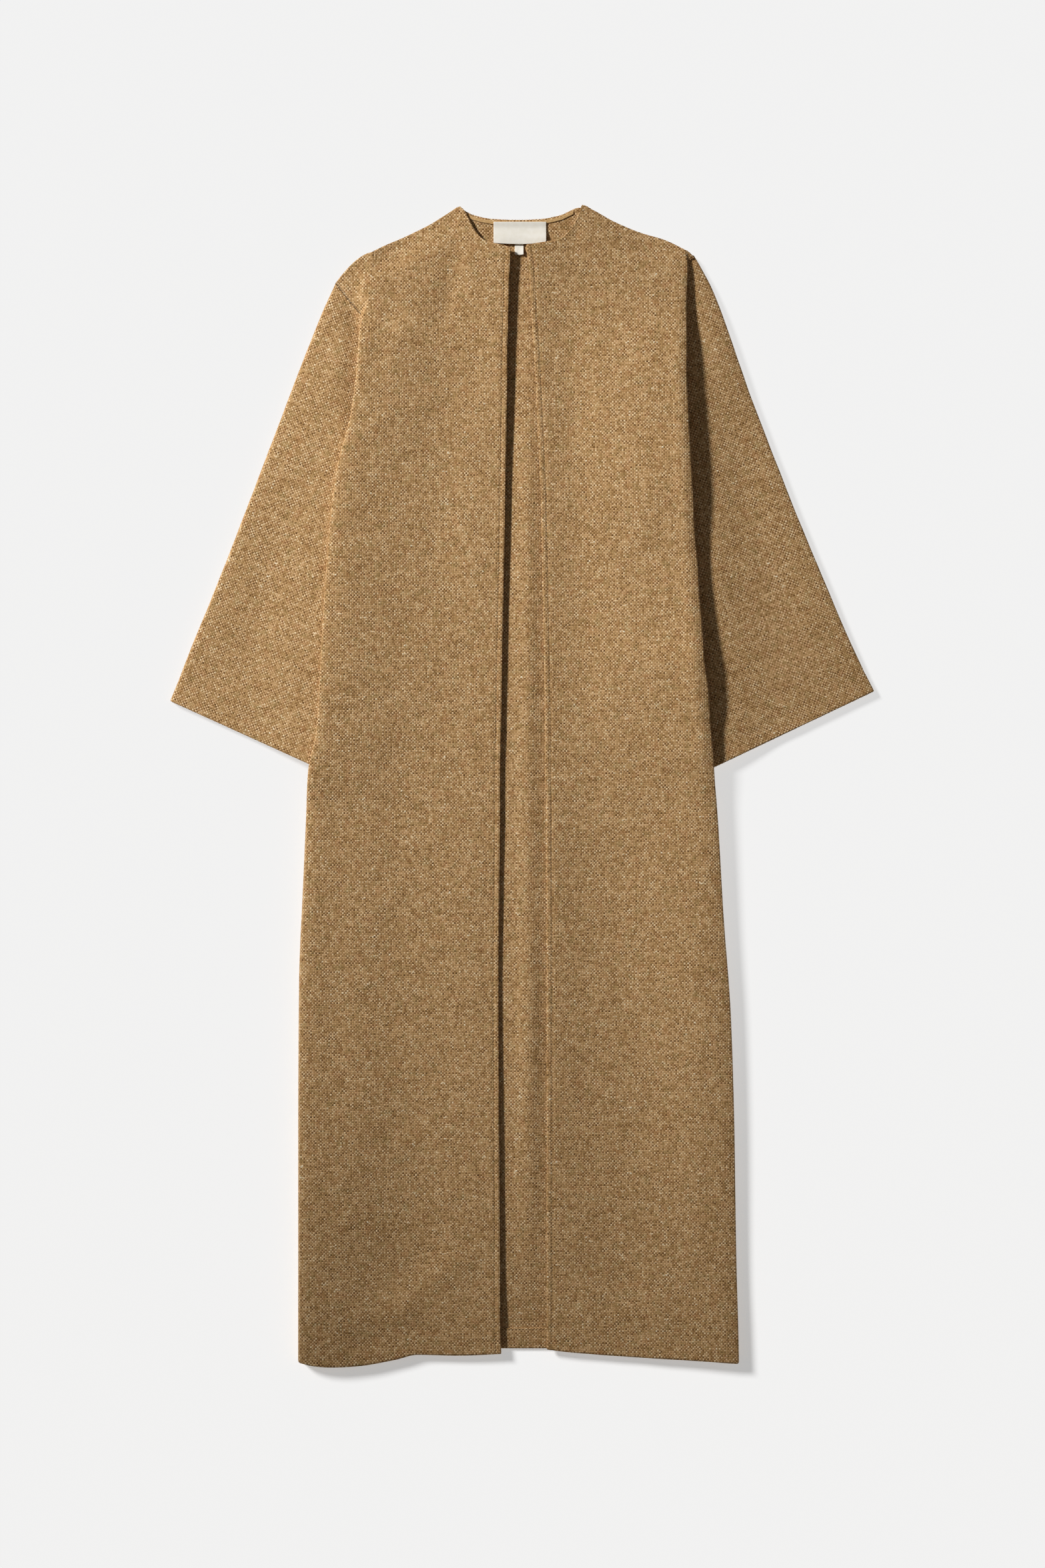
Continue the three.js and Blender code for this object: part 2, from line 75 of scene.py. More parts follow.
def curveOf(table, key, column):
    # cubic through the rows, level past both ends
    # slope at a row = harmonic mean of the slopes beside it, 0 at a peak
    order = np.argsort(table[key])
    x = np.array(table[key], float)[order]
    y = np.array(table[column], float)[order]
    step = np.diff(x)
    rate = np.diff(y) / step
    before, after = rate[:-1], rate[1:]
    sameWay = before * after > 0
    total = np.where(sameWay, before + after, 1)
    slope = np.concatenate([rate[:1], np.where(sameWay, 2 * before * after / total, 0), rate[-1:]])

    def at(value):
        value = np.clip(value, x[0], x[-1])
        i = np.clip(np.searchsorted(x, value, side="right") - 1, 0, len(step) - 1)
        t = (value - x[i]) / step[i]
        rise = y[i + 1] - y[i]
        bend = (1 - t) * (slope[i] * step[i] - rise) - t * (slope[i + 1] * step[i] - rise)
        return y[i] + rise * t + t * (1 - t) * bend

    return at


def stations(length, step, edge):
    # shares 0..1 of a length: close together at both borders, then evenly apart
    first = np.array(edge, float)
    count = max(int(round((length - 2 * first[-1]) / step)), 1)
    middle = np.linspace(first[-1], length - first[-1], count + 1)[1:-1]
    return np.concatenate([first, middle, length - first[::-1]]) / length


def surfaceNormals(grid, ring=False):
    # cross product of the difference between the neighbours across and the one between those along
    rows = np.concatenate([grid[:1], grid, grid[-1:]])
    along = rows[2:] - rows[:-2]
    if ring:
        across = np.roll(grid, -1, axis=1) - np.roll(grid, 1, axis=1)
    else:
        columns = np.concatenate([grid[:, :1], grid, grid[:, -1:]], axis=1)
        across = columns[:, 2:] - columns[:, :-2]
    normals = np.cross(across, along)
    return normals / np.maximum(np.linalg.norm(normals, axis=2, keepdims=True), 1e-9)


def borderDistance(grid, ring):
    # length along the surface from each point to the nearest border
    def fromEnds(points):
        steps = np.linalg.norm(np.diff(points, axis=0), axis=2)
        run = np.concatenate([np.zeros((1, steps.shape[1])), np.cumsum(steps, axis=0)])
        return np.minimum(run, run[-1:] - run)

    distance = fromEnds(grid)
    if not ring:
        distance = np.minimum(distance, fromEnds(grid.transpose(1, 0, 2)).T)
    return distance


def foldRelief(u, v, folds, fade=0.3):
    # each fold: height * exp(-(distance from a bowed line / width)^2), fading over a share of its length at
    # both its ends
    total = np.zeros_like(u)
    for startU, startV, endU, endV, bow, width, height in folds:
        du, dv = endU - startU, endV - startV
        length = math.hypot(du, dv)
        t = ((u - startU) * du + (v - startV) * dv) / length**2
        offset = ((v - startV) * du - (u - startU) * dv) / length
        offset = offset - bow * 4 * np.clip(t, 0, 1) * (1 - np.clip(t, 0, 1))
        total += height * np.exp(-((offset / width) ** 2)) * smooth(t / fade) * smooth((1 - t) / fade)
    return total


def unevenness(u, v, seed, height, longest=110, shortest=28, waves=10):
    # sum of plane waves with random directions and lengths: height * mean of sin(k.p + phase)
    rng = np.random.default_rng(seed)
    total = np.zeros_like(u)
    for _ in range(waves):
        angle, phase = rng.uniform(0, math.pi), rng.uniform(0, 2 * math.pi)
        reach = 2 * math.pi / rng.uniform(shortest, longest)
        total += np.sin(reach * (u * math.cos(angle) + v * math.sin(angle)) + phase)
    return total * height / math.sqrt(waves)


def makePiece(name, points, faces, layers, material, replaced=None):
    # points in mm; faces of four corners; layers: {uv name: one pair of metres for each face corner}
    used, where = np.unique(faces, return_inverse=True)
    faces = where.reshape(faces.shape)
    points = points[used] * mm
    corners = points[faces]
    spread = np.cross(corners[:, 2] - corners[:, 0], corners[:, 3] - corners[:, 1])
    if (corners.mean(axis=1) * spread).sum() < 0:  # the volume is negative, so the faces point inwards
        faces = faces[:, ::-1]
        layers = {key: pairs[:, ::-1] for key, pairs in layers.items()}
    mesh = bpy.data.meshes.new(name)
    mesh.from_pydata(points.tolist(), [], faces.tolist())
    for key, pairs in layers.items():
        mesh.uv_layers.new(name=key).data.foreach_set("uv", pairs.reshape(-1).astype(np.float32))
    mesh.polygons.foreach_set("use_smooth", np.ones(len(mesh.polygons), bool))
    mesh.materials.append(material)
    mesh.update()
    piece = bpy.data.objects.new(name, mesh)
    bpy.context.scene.collection.objects.link(piece)
    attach(piece, "root")
    if replaced:
        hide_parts(replaced)
    print(name, len(points), "points", len(faces), "faces")
    return piece


def clothShell(name, middle, uv, material, replaced, ring=False, seam=None, wall=cloth["wall"],
               outer=None, above=0.0, below=0.0):
    # wall round a grid: middle +- normal * (half + extra) * sqrt(1 - (1 - border distance / round)^2)
    # outer is 1 or -1, the side of the computed normal that faces out; a ring's uv has one more column
    normals = surfaceNormals(middle, ring) * outer
    half = wall / 2
    roundness = half + np.mean(below) / 2
    inward = 1 - np.clip(borderDistance(middle, ring) / roundness, 0, 1)
    taper = np.sqrt(1 - inward**2)[..., None]
    over = middle + normals * (half + np.broadcast_to(above, taper.shape[:2])[..., None]) * taper
    under = middle - normals * (half + np.broadcast_to(below, taper.shape[:2])[..., None]) * taper
    rowCount, columnCount = middle.shape[:2]
    index = np.arange(rowCount * columnCount).reshape(rowCount, columnCount)
    border = np.zeros_like(index, bool)
    border[[0, -1]] = True
    if not ring:
        border[:, [0, -1]] = True
    lower = np.where(border, index, index + index.size)
    uvIndex = np.arange(rowCount * (columnCount + ring)).reshape(rowCount, -1)
    if ring:
        index = np.concatenate([index, index[:, :1]], axis=1)
        lower = np.concatenate([lower, lower[:, :1]], axis=1)

    def quads(grid):
        return np.stack([grid[:-1, :-1], grid[:-1, 1:], grid[1:, 1:], grid[1:, :-1]], axis=-1).reshape(-1, 4)

    faces = np.concatenate([quads(index), quads(lower)[:, ::-1]])
    corners = np.concatenate([quads(uvIndex), quads(uvIndex)[:, ::-1]])
    if seam is None:
        seam = np.full_like(uv, 1000)  # no stitching within a metre
    layers = {key: pairs.reshape(-1, 2)[corners] * mm for key, pairs in (("weave", uv), ("seam", seam))}
    points = np.concatenate([over.reshape(-1, 3), under.reshape(-1, 3)])
    return makePiece(name, points, faces, layers, material, replaced)


# materials
def toLinear(code):
    # sRGB hex to linear RGBA
    values = [int(code[i:i + 2], 16) / 255 for i in (1, 3, 5)]
    return [v / 12.92 if v <= 0.04045 else ((v + 0.055) / 1.055) ** 2.4 for v in values] + [1.0]


def addNode(tree, kind, inputs=None, operation=None, **settings):
    # kind: the node's type after "ShaderNode"
    # inputs: {socket: value, node (its first output) or (node, output)}
    node = tree.nodes.new("ShaderNode" + kind)
    if operation:
        node.operation = operation
    for key, value in settings.items():
        setattr(node, key, value)
    for key, value in (inputs or {}).items():
        if isinstance(value, bpy.types.Node):
            tree.links.new(value.outputs[0], node.inputs[key])
        elif isinstance(value, tuple) and isinstance(value[0], bpy.types.Node):
            tree.links.new(value[0].outputs[value[1]], node.inputs[key])
        else:
            node.inputs[key].default_value = value
    return node


def newMaterial(name):
    # the material, and addNode for its own tree
    material = bpy.data.materials.new(name)
    material.use_nodes = True
    material.node_tree.nodes.clear()
    return material, partial(addNode, material.node_tree)


def fillRamp(node, stops):
    # stops: [(position, sRGB hex or linear RGBA)]
    elements = node.color_ramp.elements
    while len(elements) > 1:
        elements.remove(elements[-1])
    elements[0].position = stops[0][0]
    for i, (position, color) in enumerate(stops):
        element = elements.new(position) if i else elements[0]
        element.color = toLinear(color) if isinstance(color, str) else color


tweedLook = {
    "straying": [(65.0, 0.0008), (260.0, 0.0004)],  # of the yarns: spots to the metre, metres astray
    "tones": [(0.0, "#593c1d"), (0.25, "#90693e"), (0.45, "#bb9563"), (0.62, "#dab283"), (0.8, "#f2d5a9"),
              (1.0, "#fdf0d4")],
    "middle": 0.47,  # where the plain cloth sits in the tones
    "yarnSpread": 0.30,  # how much one yarn differs from the next
    "yarnDrift": 0.17,  # how fast its tone changes along it
    "checker": 0.27,  # lighter warp crossings, darker weft ones
    "crossingSpread": 0.31,  # from one crossing to the next
    "crownPaintedLight": 0.06,  # painted highlight on the tops of the crossings, painted shade in the gaps between them
    "crownMean": 0.62,  # mean height of the crossings
    "crownRoot": 0.45,  # how bluntly a yarn dives under the next
    "fibre": (900.0, 0.10),  # single hairs: spots to the metre, share of the tones
    "broad": (75.0, 0.09),  # clouds of lighter and darker yarn
    "broadStretch": 0.45,  # how often they change across the cloth, against along it
    "slubPitch": 0.013,  # metres from one cream slub to the next, along the cloth
    "slubStretch": 3.4,  # times as far and as long across it
    "slubRadius": (0.01, 0.085),  # least, and what chance adds, in pitches
    "slubTone": 0.30,
    "slubStray": 0.004,  # metres that its outline strays
    "patches": [(3.7, "#b5764a"), (9.1, "#8f8550")],  # rust and moss, each noise with its own shift
    "patchAmount": 0.22,  # the most that a patch takes its colour
    "holePitch": 0.0042,
    "holePaintedShade": (0.75, "#4a3018"),  # share of the painted shade's dark colour, and that colour
    "bump": 0.00034,
    "relief": {"slub": 0.5, "fibre": 0.25, "pit": -0.8},  # over the height of a yarn
}


def tweedMaterial(look):
    # Wool and cotton tweed, plain weave of thick melange yarns at 2.04 x 2.11 mm, unfinished.
    # Gives the eye a soft checker of cream, tan and brown crossings with dark gaps, partly painted shade,
    # cream slubs, rust and moss patches, and a matt, slightly hairy surface.
    material, add = newMaterial("melangeTweedPlainWeave")
    place = add("UVMap", uv_map="weave")
    strayed = place
    for scale, astray in look["straying"]:
        noise = add("TexNoise", {"Vector": place, "Scale": scale, "Detail": 1.0}, noise_dimensions="2D")
        sway = add("VectorMath", {0: (noise, "Color"), 1: [-0.5] * 3}, "ADD")
        strayed = add("VectorMath", {0: sway, 1: [2 * astray] * 3, 2: strayed}, "MULTIPLY_ADD")
    pitch = [weave["warp"] * mm, weave["weft"] * mm, 1.0]
    yarns = add("VectorMath", {0: strayed, 1: pitch}, "DIVIDE")
    crossing = add("VectorMath", {0: yarns}, "FLOOR")
    across = add("SeparateXYZ", {0: yarns})
    number = add("SeparateXYZ", {0: crossing})
    both = add("Math", {0: (number, 0), 1: (number, 1)}, "ADD")
    warpOver = add("Math", {0: both, 1: 2.0}, "FLOORED_MODULO")

    # round tops of the yarns: |sin(pi n)| across each, times a root of the same along the one on top
    rounds, crowns, tones = [], [], []
    sides = (0, 1)  # warp, weft
    for side in sides:
        angle = add("Math", {0: (across, side), 1: math.pi}, "MULTIPLY")
        wave = add("Math", {0: angle}, "SINE")
        rounds.append(add("Math", {0: wave}, "ABSOLUTE"))
    for side in sides:
        lengthwise = add("Math", {0: rounds[1 - side], 1: look["crownRoot"]}, "POWER")
        crowns.append(add("Math", {0: rounds[side], 1: lengthwise}, "MULTIPLY"))
    crown = add("Mix", {0: warpOver, 2: crowns[1], 3: crowns[0]})

    # each yarn's tone, which drifts along it
    for side in sides:
        drift = add("Math", {0: (across, 1 - side), 1: look["yarnDrift"]}, "MULTIPLY")
        seed = add("Math", {0: (number, side), 1: 13.73 + side}, "MULTIPLY")
        spot = add("CombineXYZ", {0: seed, 1: drift, 2: 7.3 * side})
        noise = add("TexNoise", {"Vector": spot, "Scale": 1.0, "Detail": 2.0})
        tones.append(add("Math", {0: (noise, 0), 1: -0.5}, "ADD"))
    yarnTone = add("Mix", {0: warpOver, 2: tones[1], 3: tones[0]})
    chance = add("TexWhiteNoise", {"Vector": crossing}, noise_dimensions="2D")
    fibre = add("TexNoise", {"Vector": place, "Scale": look["fibre"][0], "Detail": 2.0},
                noise_dimensions="2D")
    stretched = add("VectorMath", {0: place, 1: [look["broadStretch"], 1, 1]}, "MULTIPLY")
    broad = add("TexNoise", {"Vector": stretched, "Scale": look["broad"][0], "Detail": 3.0},
                noise_dimensions="2D")
    # each part of the sum is 0 to 1, so its mean comes off the middle
    # the crown part is painted highlight on the tops of the crossings and painted shade in the gaps between
    # them
    parts = [(chance, look["crossingSpread"], 0.5), (warpOver, look["checker"], 0.5),
             (crown, look["crownPaintedLight"], look["crownMean"]), (fibre, look["fibre"][1], 0.5),
             (broad, look["broad"][1], 0.5)]
    base = look["middle"] - sum(strength * mean for _, strength, mean in parts)
    level = add("Math", {0: yarnTone, 1: 2 * look["yarnSpread"], 2: base}, "MULTIPLY_ADD")
    for source, strength, _ in parts:
        level = add("Math", {0: source, 1: strength, 2: level}, "MULTIPLY_ADD")

    # cream slubs: spots up to 2.5 mm along the cloth and 8 mm across, in most cells of a scattered grid
    slubPlace = add("VectorMath", {0: sway, 1: [look["slubStray"]] * 3, 2: place}, "MULTIPLY_ADD")
    slubPlace = add("VectorMath", {0: slubPlace, 1: [1 / look["slubStretch"], 1, 1]}, "MULTIPLY")
    cells = add("TexVoronoi", {"Vector": slubPlace, "Scale": 1 / look["slubPitch"]}, voronoi_dimensions="2D")
    size = add("SeparateXYZ", {0: (cells, "Color")})
    least, more = look["slubRadius"]
    radius = add("Math", {0: (size, 0), 1: more, 2: least}, "MULTIPLY_ADD")
    inner = add("Math", {0: radius, 1: 0.5}, "MULTIPLY")
    slub = add("MapRange", {"Value": (cells, "Distance"), "From Min": radius, "From Max": inner},
               interpolation_type="SMOOTHSTEP")
    level = add("Math", {0: slub, 1: look["slubTone"], 2: level}, "MULTIPLY_ADD")
    ramp = add("ValToRGB", {0: level})
    fillRamp(ramp, look["tones"])

    # patches where rust or moss yarn shows more
    color = (ramp, "Color")
    for shift, code in look["patches"]:
        moved = add("VectorMath", {0: place, 1: [shift] * 3}, "ADD")
        patch = add("TexNoise", {"Vector": moved, "Scale": 85.0, "Detail": 2.0}, noise_dimensions="2D")
        amount = add("MapRange", {"Value": (patch, 0), "From Min": 0.56, "From Max": 0.74,
                                  "To Max": look["patchAmount"]})
        color = (add("Mix", {0: amount, 6: color, 7: toLinear(code)}, data_type="RGBA"), 2)

    # holes of the topstitching: painted shade as dark dots every second yarn along a seam line
    seam = add("UVMap", uv_map="seam")
    seamAt = add("SeparateXYZ", {0: seam})
    off = add("Math", {0: (seamAt, 0)}, "ABSOLUTE")
    line = add("MapRange", {"Value": off, "From Min": 0.0011, "From Max": 0.0003},
               interpolation_type="SMOOTHSTEP")
    beat = add("Math", {0: (seamAt, 1), 1: 2 * math.pi / look["holePitch"]}, "MULTIPLY")
    pulse = add("Math", {0: beat}, "SINE")
    hole = add("MapRange", {"Value": pulse, "From Min": 0.1, "From Max": 0.8, "To Min": 0.06})
    pit = add("Math", {0: line, 1: hole}, "MULTIPLY")
    darkness, code = look["holePaintedShade"]
    shade = add("Math", {0: pit, 1: darkness}, "MULTIPLY")
    color = (add("Mix", {0: shade, 6: color, 7: toLinear(code)}, data_type="RGBA"), 2)

    height = crown
    for source, key in ((slub, "slub"), (fibre, "fibre"), (pit, "pit")):
        height = add("Math", {0: source, 1: look["relief"][key], 2: height}, "MULTIPLY_ADD")
    bump = add("Bump", {"Strength": 1.0, "Distance": look["bump"], "Height": height})
    shader = add("BsdfPrincipled",
                 {"Base Color": color, "Roughness": 0.93, "Specular IOR Level": 0.15, "IOR": 1.45,
                  "Sheen Weight": 0.22, "Sheen Roughness": 0.5, "Sheen Tint": toLinear("#ead9bc"),
                  "Normal": bump})
    add("OutputMaterial", {"Surface": shader})
    return material


# Cotton twill tape, dyed sand: fine diagonal ribs 0.7 mm apart, painted a little lighter on top and darker
# between them, matt.
tapeLook = {
    "name": "sandTwillTape", "acrossRibs": [1, 1, 0], "ribPitch": 0.0010, "ribPaintedShading": 0.12, "clouds": 300.0,
    "tones": [(0.2, "#bd9560"), (0.5, "#d3ac76"), (0.8, "#dfbd8a")],
    "bump": (0.6, 0.0002), "roughness": 0.8, "specular": 0.2,
}
# Woven polyester satin label cloth, off-white: a painted soft gloss along floats 0.9 mm apart, wider than
# real ones so that they show.
satinLook = {
    "name": "offWhiteSatinLabel", "acrossRibs": [0, 1, 0], "ribPitch": 0.0009, "ribPaintedShading": 0.10,
    "clouds": 160.0,
    "tones": [(0.2, "#f2ede1"), (0.5, "#f8f4ea"), (0.8, "#fcf9f2")],
    "bump": (0.4, 0.0001), "roughness": 0.55, "specular": 0.3,
}


def ribbedMaterial(look):
    # tone and height: the rib strength * sin(2 pi * distance across the ribs / pitch) + noise; the rib term
    # is painted light on the ribs' tops and painted shade between them
    material, add = newMaterial(look["name"])
    place = add("UVMap", uv_map="weave")
    lean = add("VectorMath", {0: place, 1: look["acrossRibs"]}, "DOT_PRODUCT")
    beat = add("Math", {0: (lean, "Value"), 1: 2 * math.pi / look["ribPitch"]}, "MULTIPLY")
    rib = add("Math", {0: beat}, "SINE")
    noise = add("TexNoise", {"Vector": place, "Scale": look["clouds"], "Detail": 2.0})
    # the rib term paints light on the ribs and shade between them into the tone
    level = add("Math", {0: rib, 1: look["ribPaintedShading"], 2: (noise, 0)}, "MULTIPLY_ADD")
    ramp = add("ValToRGB", {0: level})
    fillRamp(ramp, look["tones"])
    strength, distance = look["bump"]
    bump = add("Bump", {"Strength": strength, "Distance": distance, "Height": level})
    shader = add("BsdfPrincipled", {"Base Color": ramp, "Roughness": look["roughness"],
                                    "Specular IOR Level": look["specular"], "Normal": bump})
    add("OutputMaterial", {"Surface": shader})
    return material


def threadMaterial():
    # Spun polyester sewing thread, tan: two plies whose twist shows every 1.3 mm along it as painted light
    # and shade, faint gloss.
    material, add = newMaterial("tanSewingThread")
    place = add("TexCoord")
    twist = add("TexWave", {"Vector": (place, "Object"), "Scale": 500.0, "Distortion": 2.0},
                bands_direction="DIAGONAL")
    ramp = add("ValToRGB", {0: (twist, "Fac")})
    fillRamp(ramp, [(0.1, "#8a6a40"), (0.7, "#c29b66")])
    shader = add("BsdfPrincipled", {"Base Color": ramp, "Roughness": 0.7, "Specular IOR Level": 0.25})
    add("OutputMaterial", {"Surface": shader})
    return material


tweed = tweedMaterial(tweedLook)
tape = ribbedMaterial(tapeLook)
satin = ribbedMaterial(satinLook)
thread = threadMaterial()
print("materials made")

# fronts: levels from shoulder to hem, then the top edge and the hem from the centre edge to the fold
# centre: centre edge; side: outermost line of the rolled fold; rest: height of the flat part; lift: height of
# the centre edge; crest: top of the fold; round: its radius; turn: how far round it goes, in degrees; under:
# length of cloth turned under; drop: slant of that length; slump: how far the cloth sinks before the fold
rightFront = {
    "levels": {
        "y": [651, 632, 613, 593, 575, 558, 540, 500, 450, 389, 320, 226, 124, 63, 20, -6, -32, -121, -243,
             -426, -589, -660, -711],
        "centre": [-13.9, -14.9, -15.9, -15.9, -16.9, -16.9, -17.9, -17.9, -18.9, -19.9, -20.9, -22.9,
             -24.7, -25.7, -26.7, -26.7, -26.7, -27.7, -28.7, -27.9, -26.9, -26.7, -24.7],
        "side": [-190, -190, -191, -192, -196, -198, -199, -202, -209, -225, -234, -241, -247, -251, -260,
             -262, -263, -267, -272, -273, -273, -273, -273],
        "rest": [5] * 20 + [5.4, 10.4, 12.6],
        "lift": [12, 11.5, 11.3, 11.2, 11, 10.9, 10.7, 10.3, 9.7, 8.8, 8.4, 7.7, 7.3, 7.1, 6.9, 6.8, 6.7,
             6.3, 5.7, 7, 7.7, 10.4, 12.8],
        "crest": [11.6, 12.8, 13.8, 14.7, 16, 18.9] + [20.2] * 9 + [18] + [16.5] * 5 + [17.6, 18],
        "round": [6, 6, 5, 5, 4] + [2.2] * 10 + [4, 6] + [7.2] * 4 + [7.4] * 2,
        "turn": [2, 3, 5, 9, 50, 130] + [180] * 17,
        "under": [44.5, 36, 24, 14, 2, 1, 5, 14, 25, 35, 38, 32, 20, 10, 6, 6, 5, 5, 5, 5, 5, 5, 5],
        "drop": [38, 31, 24, 14, 5] + [0] * 18,
        "slump": [0] * 23,
    },
    "top": {
        "across": [0, 0.04, 0.12, 0.2, 0.27, 0.34, 0.37, 0.42, 0.58, 0.77, 0.9, 1],
        "y": [655, 659, 662, 667, 681, 704, 708, 703, 686, 670, 660, 651],
        "height": [12, 11.5, 11, 9.5, 8, 5.6, 4.2, 3.8, 3.8, 4.2, 7.5, 11.6],
    },
    "hem": {"across": [0, 0.22, 0.42, 0.53, 0.72, 0.84, 0.94, 1],
            "y": [-693.5, -695.5, -694.5, -700.5, -708, -709.3, -707.6, -704]},
    "outside": -1,
    "seed": 11,
    # start u, v; end u, v; bow; width; height
    "folds": [
        (-76, 700, -104, 540, 4, 14, -1.8),
        (-104, 680, -142, -560, 4, 32, 1.5),
        (-178, 640, -232, -560, -14, 30, -1.2),
        (-214, 690, -202, 545, 0, 9, -2.4),
        (-70, 560, -80, 160, 5, 26, 1.0),
        (-205, 470, -208, 40, -6, 24, 1.0),
        (-195, -60, -214, -640, 8, 34, 1.0),
        (-46, -566, -176, -676, -8, 24, 2.6),
        (-100, -650, -235, -690, 4, 16, -1.2),
        (-150, 640, -196, 470, 5, 14, -1.0),
        (-60, 60, -72, -420, -5, 32, 0.8),
    ],
}
leftFront = {
    "levels": {
        "y": [654, 643, 633, 613, 576, 544, 503, 463, 410, 356, 307, 269, 226, 185, 153, 112, 71, 37, 5,
             -18, -44, -161, -284, -406, -589, -660, -710],
        "centre": [5, 7, 8, 9, 11.2, 13.5, 15.8, 17.8, 20.2, 22.6, 23.8, 24.5, 25.4, 26.1, 26.7, 27.4, 28,
             28, 28, 29, 29, 30, 30, 30, 30, 30, 30],
        "side": [201, 202, 202, 200.7, 199.8, 200, 199.2, 201, 203.5, 206.8, 209.2, 212.9, 215.4, 218.7,
             220.4, 226.1, 228.8, 231.9, 234, 236, 238, 245, 254, 258, 261, 263, 264],
        "rest": [5] * 24 + [5.4, 10.4, 12.6],
        "lift": [11, 11.5, 11.5, 11.2, 10.8, 10.5, 10.2, 9.8, 9.4, 8.9, 8.6, 8.4, 8.2, 8.1, 8.1, 7.9, 7.8,
             7.7, 7.7, 7.6, 7.6, 7.4, 7.2, 7.2, 7.8, 10.2, 12.8],
        "crest": [12, 14.4, 16.2, 17.6, 22.4, 29.2, 33.7, 35, 36.2, 34.8, 31.5, 30, 31.7, 33.8, 36.6, 34,
             29.4, 27.5, 24, 22, 21.3, 19.5, 18, 17.2, 15.8, 16.4, 17],
        "round": [2.4, 2.2, 2.6] + [2.2] * 16 + [2.4] * 8,
        "turn": [3, 60, 180] + [140] * 16 + [115] * 8,
        "under": [11, 2, 2, 3.9, 8.4, 14.8, 19.1, 21.2, 23, 20.8, 15.7, 13.4, 16, 19.3, 23.6, 19.6, 12.4,
             10.1, 4.8, 14.6, 13.8, 11.8, 10.2, 9.3, 7.7, 8.4, 9.1],
        "drop": [9, 3] + [0] * 25,
        "slump": [0, 0, 0, 0.6, 1.5] + [2.4] * 12 + [2, 1] + [0.4] * 8,
    },
    "top": {
        "across": [0, 0.09, 0.2, 0.28, 0.335, 0.355, 0.42, 0.56, 0.72, 0.88, 1],
        "y": [660, 663, 667, 680, 700, 710, 704, 689, 676, 666, 654],
        "height": [11, 11, 9.3, 7.8, 5.4, 4.2, 3.8, 3.8, 4, 7.5, 12],
    },
    "hem": {"across": [0, 0.12, 0.47, 0.82, 1],
            "y": [-688, -691.5, -697.5, -702, -705]},
    "outside": 1,
    "seed": 12,
    "folds": [
        (84, 780, 106, -140, 4, 34, 3.0),
        (166, 780, 190, -140, 4, 30, -3.0),
        (60, 40, 84, -560, 10, 28, -1.4),
        (140, -40, 170, -600, -10, 34, -1.0),
        (110, 300, 118, -120, 6, 28, 1.0),
        (200, -120, 214, -560, 6, 24, 0.9),
        (86, -570, 190, -660, 8, 20, 1.2),
        (120, -655, 240, -690, -4, 15, -0.9),
        (150, 650, 188, 520, -5, 16, 0.8),
    ],
}
frontShape = {
    "length": 1360.0,  # near enough from top edge to hem, to space the rows
    "acrossSteps": 39, "arcSteps": 12, "underSteps": 8, "hemSteps": 8, "turnUpSteps": 6,
    "foldReach": 150.0, "slumpReach": 19.0, "edgeReach": 100.0, "shoulderReach": 42.0, "dropCurve": 1.6,
    "rollStart": 60.0, "rollOver": 60.0,  # a fold counts as rolled from the first, fully after both degrees
    "foldFlatness": 0.35,  # width of a rolled fold's arc over its height
    "foldSink": 0.8,  # how much a rolled fold lies lower than its crest, pressed by hand
    "plainEdge": 22.0,  # width beside a rolled fold that has no other relief
    "plainStart": 20.0, "plainOver": 40.0,  # degrees of turn, as for rollStart
    "hemTurn": 24.5, "hemRound": 1.7,
    "stitchIn": 6.6,  # topstitching from the centre edge
    "facing": 0.9,  # extra thickness where the centre edge is turned in
    "facingWidth": 26.0, "facingFade": 6.0,
    "nearEdge": [0, 0.25, 0.7, 1.4, 2.4, 3.8, 5.0, 5.8, 6.6, 7.4, 8.2, 9.6, 12, 15.5, 20, 25],
    "edgeBands": [(-0.22, 6.6, 1.1), (0.45, 3.0, 2.4), (0.25, 10.5, 3.0)],  # groove, bulges: as cuffBands
    "reliefStart": 30.0,  # distance from the centre edge over which the other relief grows
    "unevenness": 0.22,
}


def stepShares(count):
    # shares of a length after each of its equal steps
    return np.linspace(0, 1, count + 1)[1:]


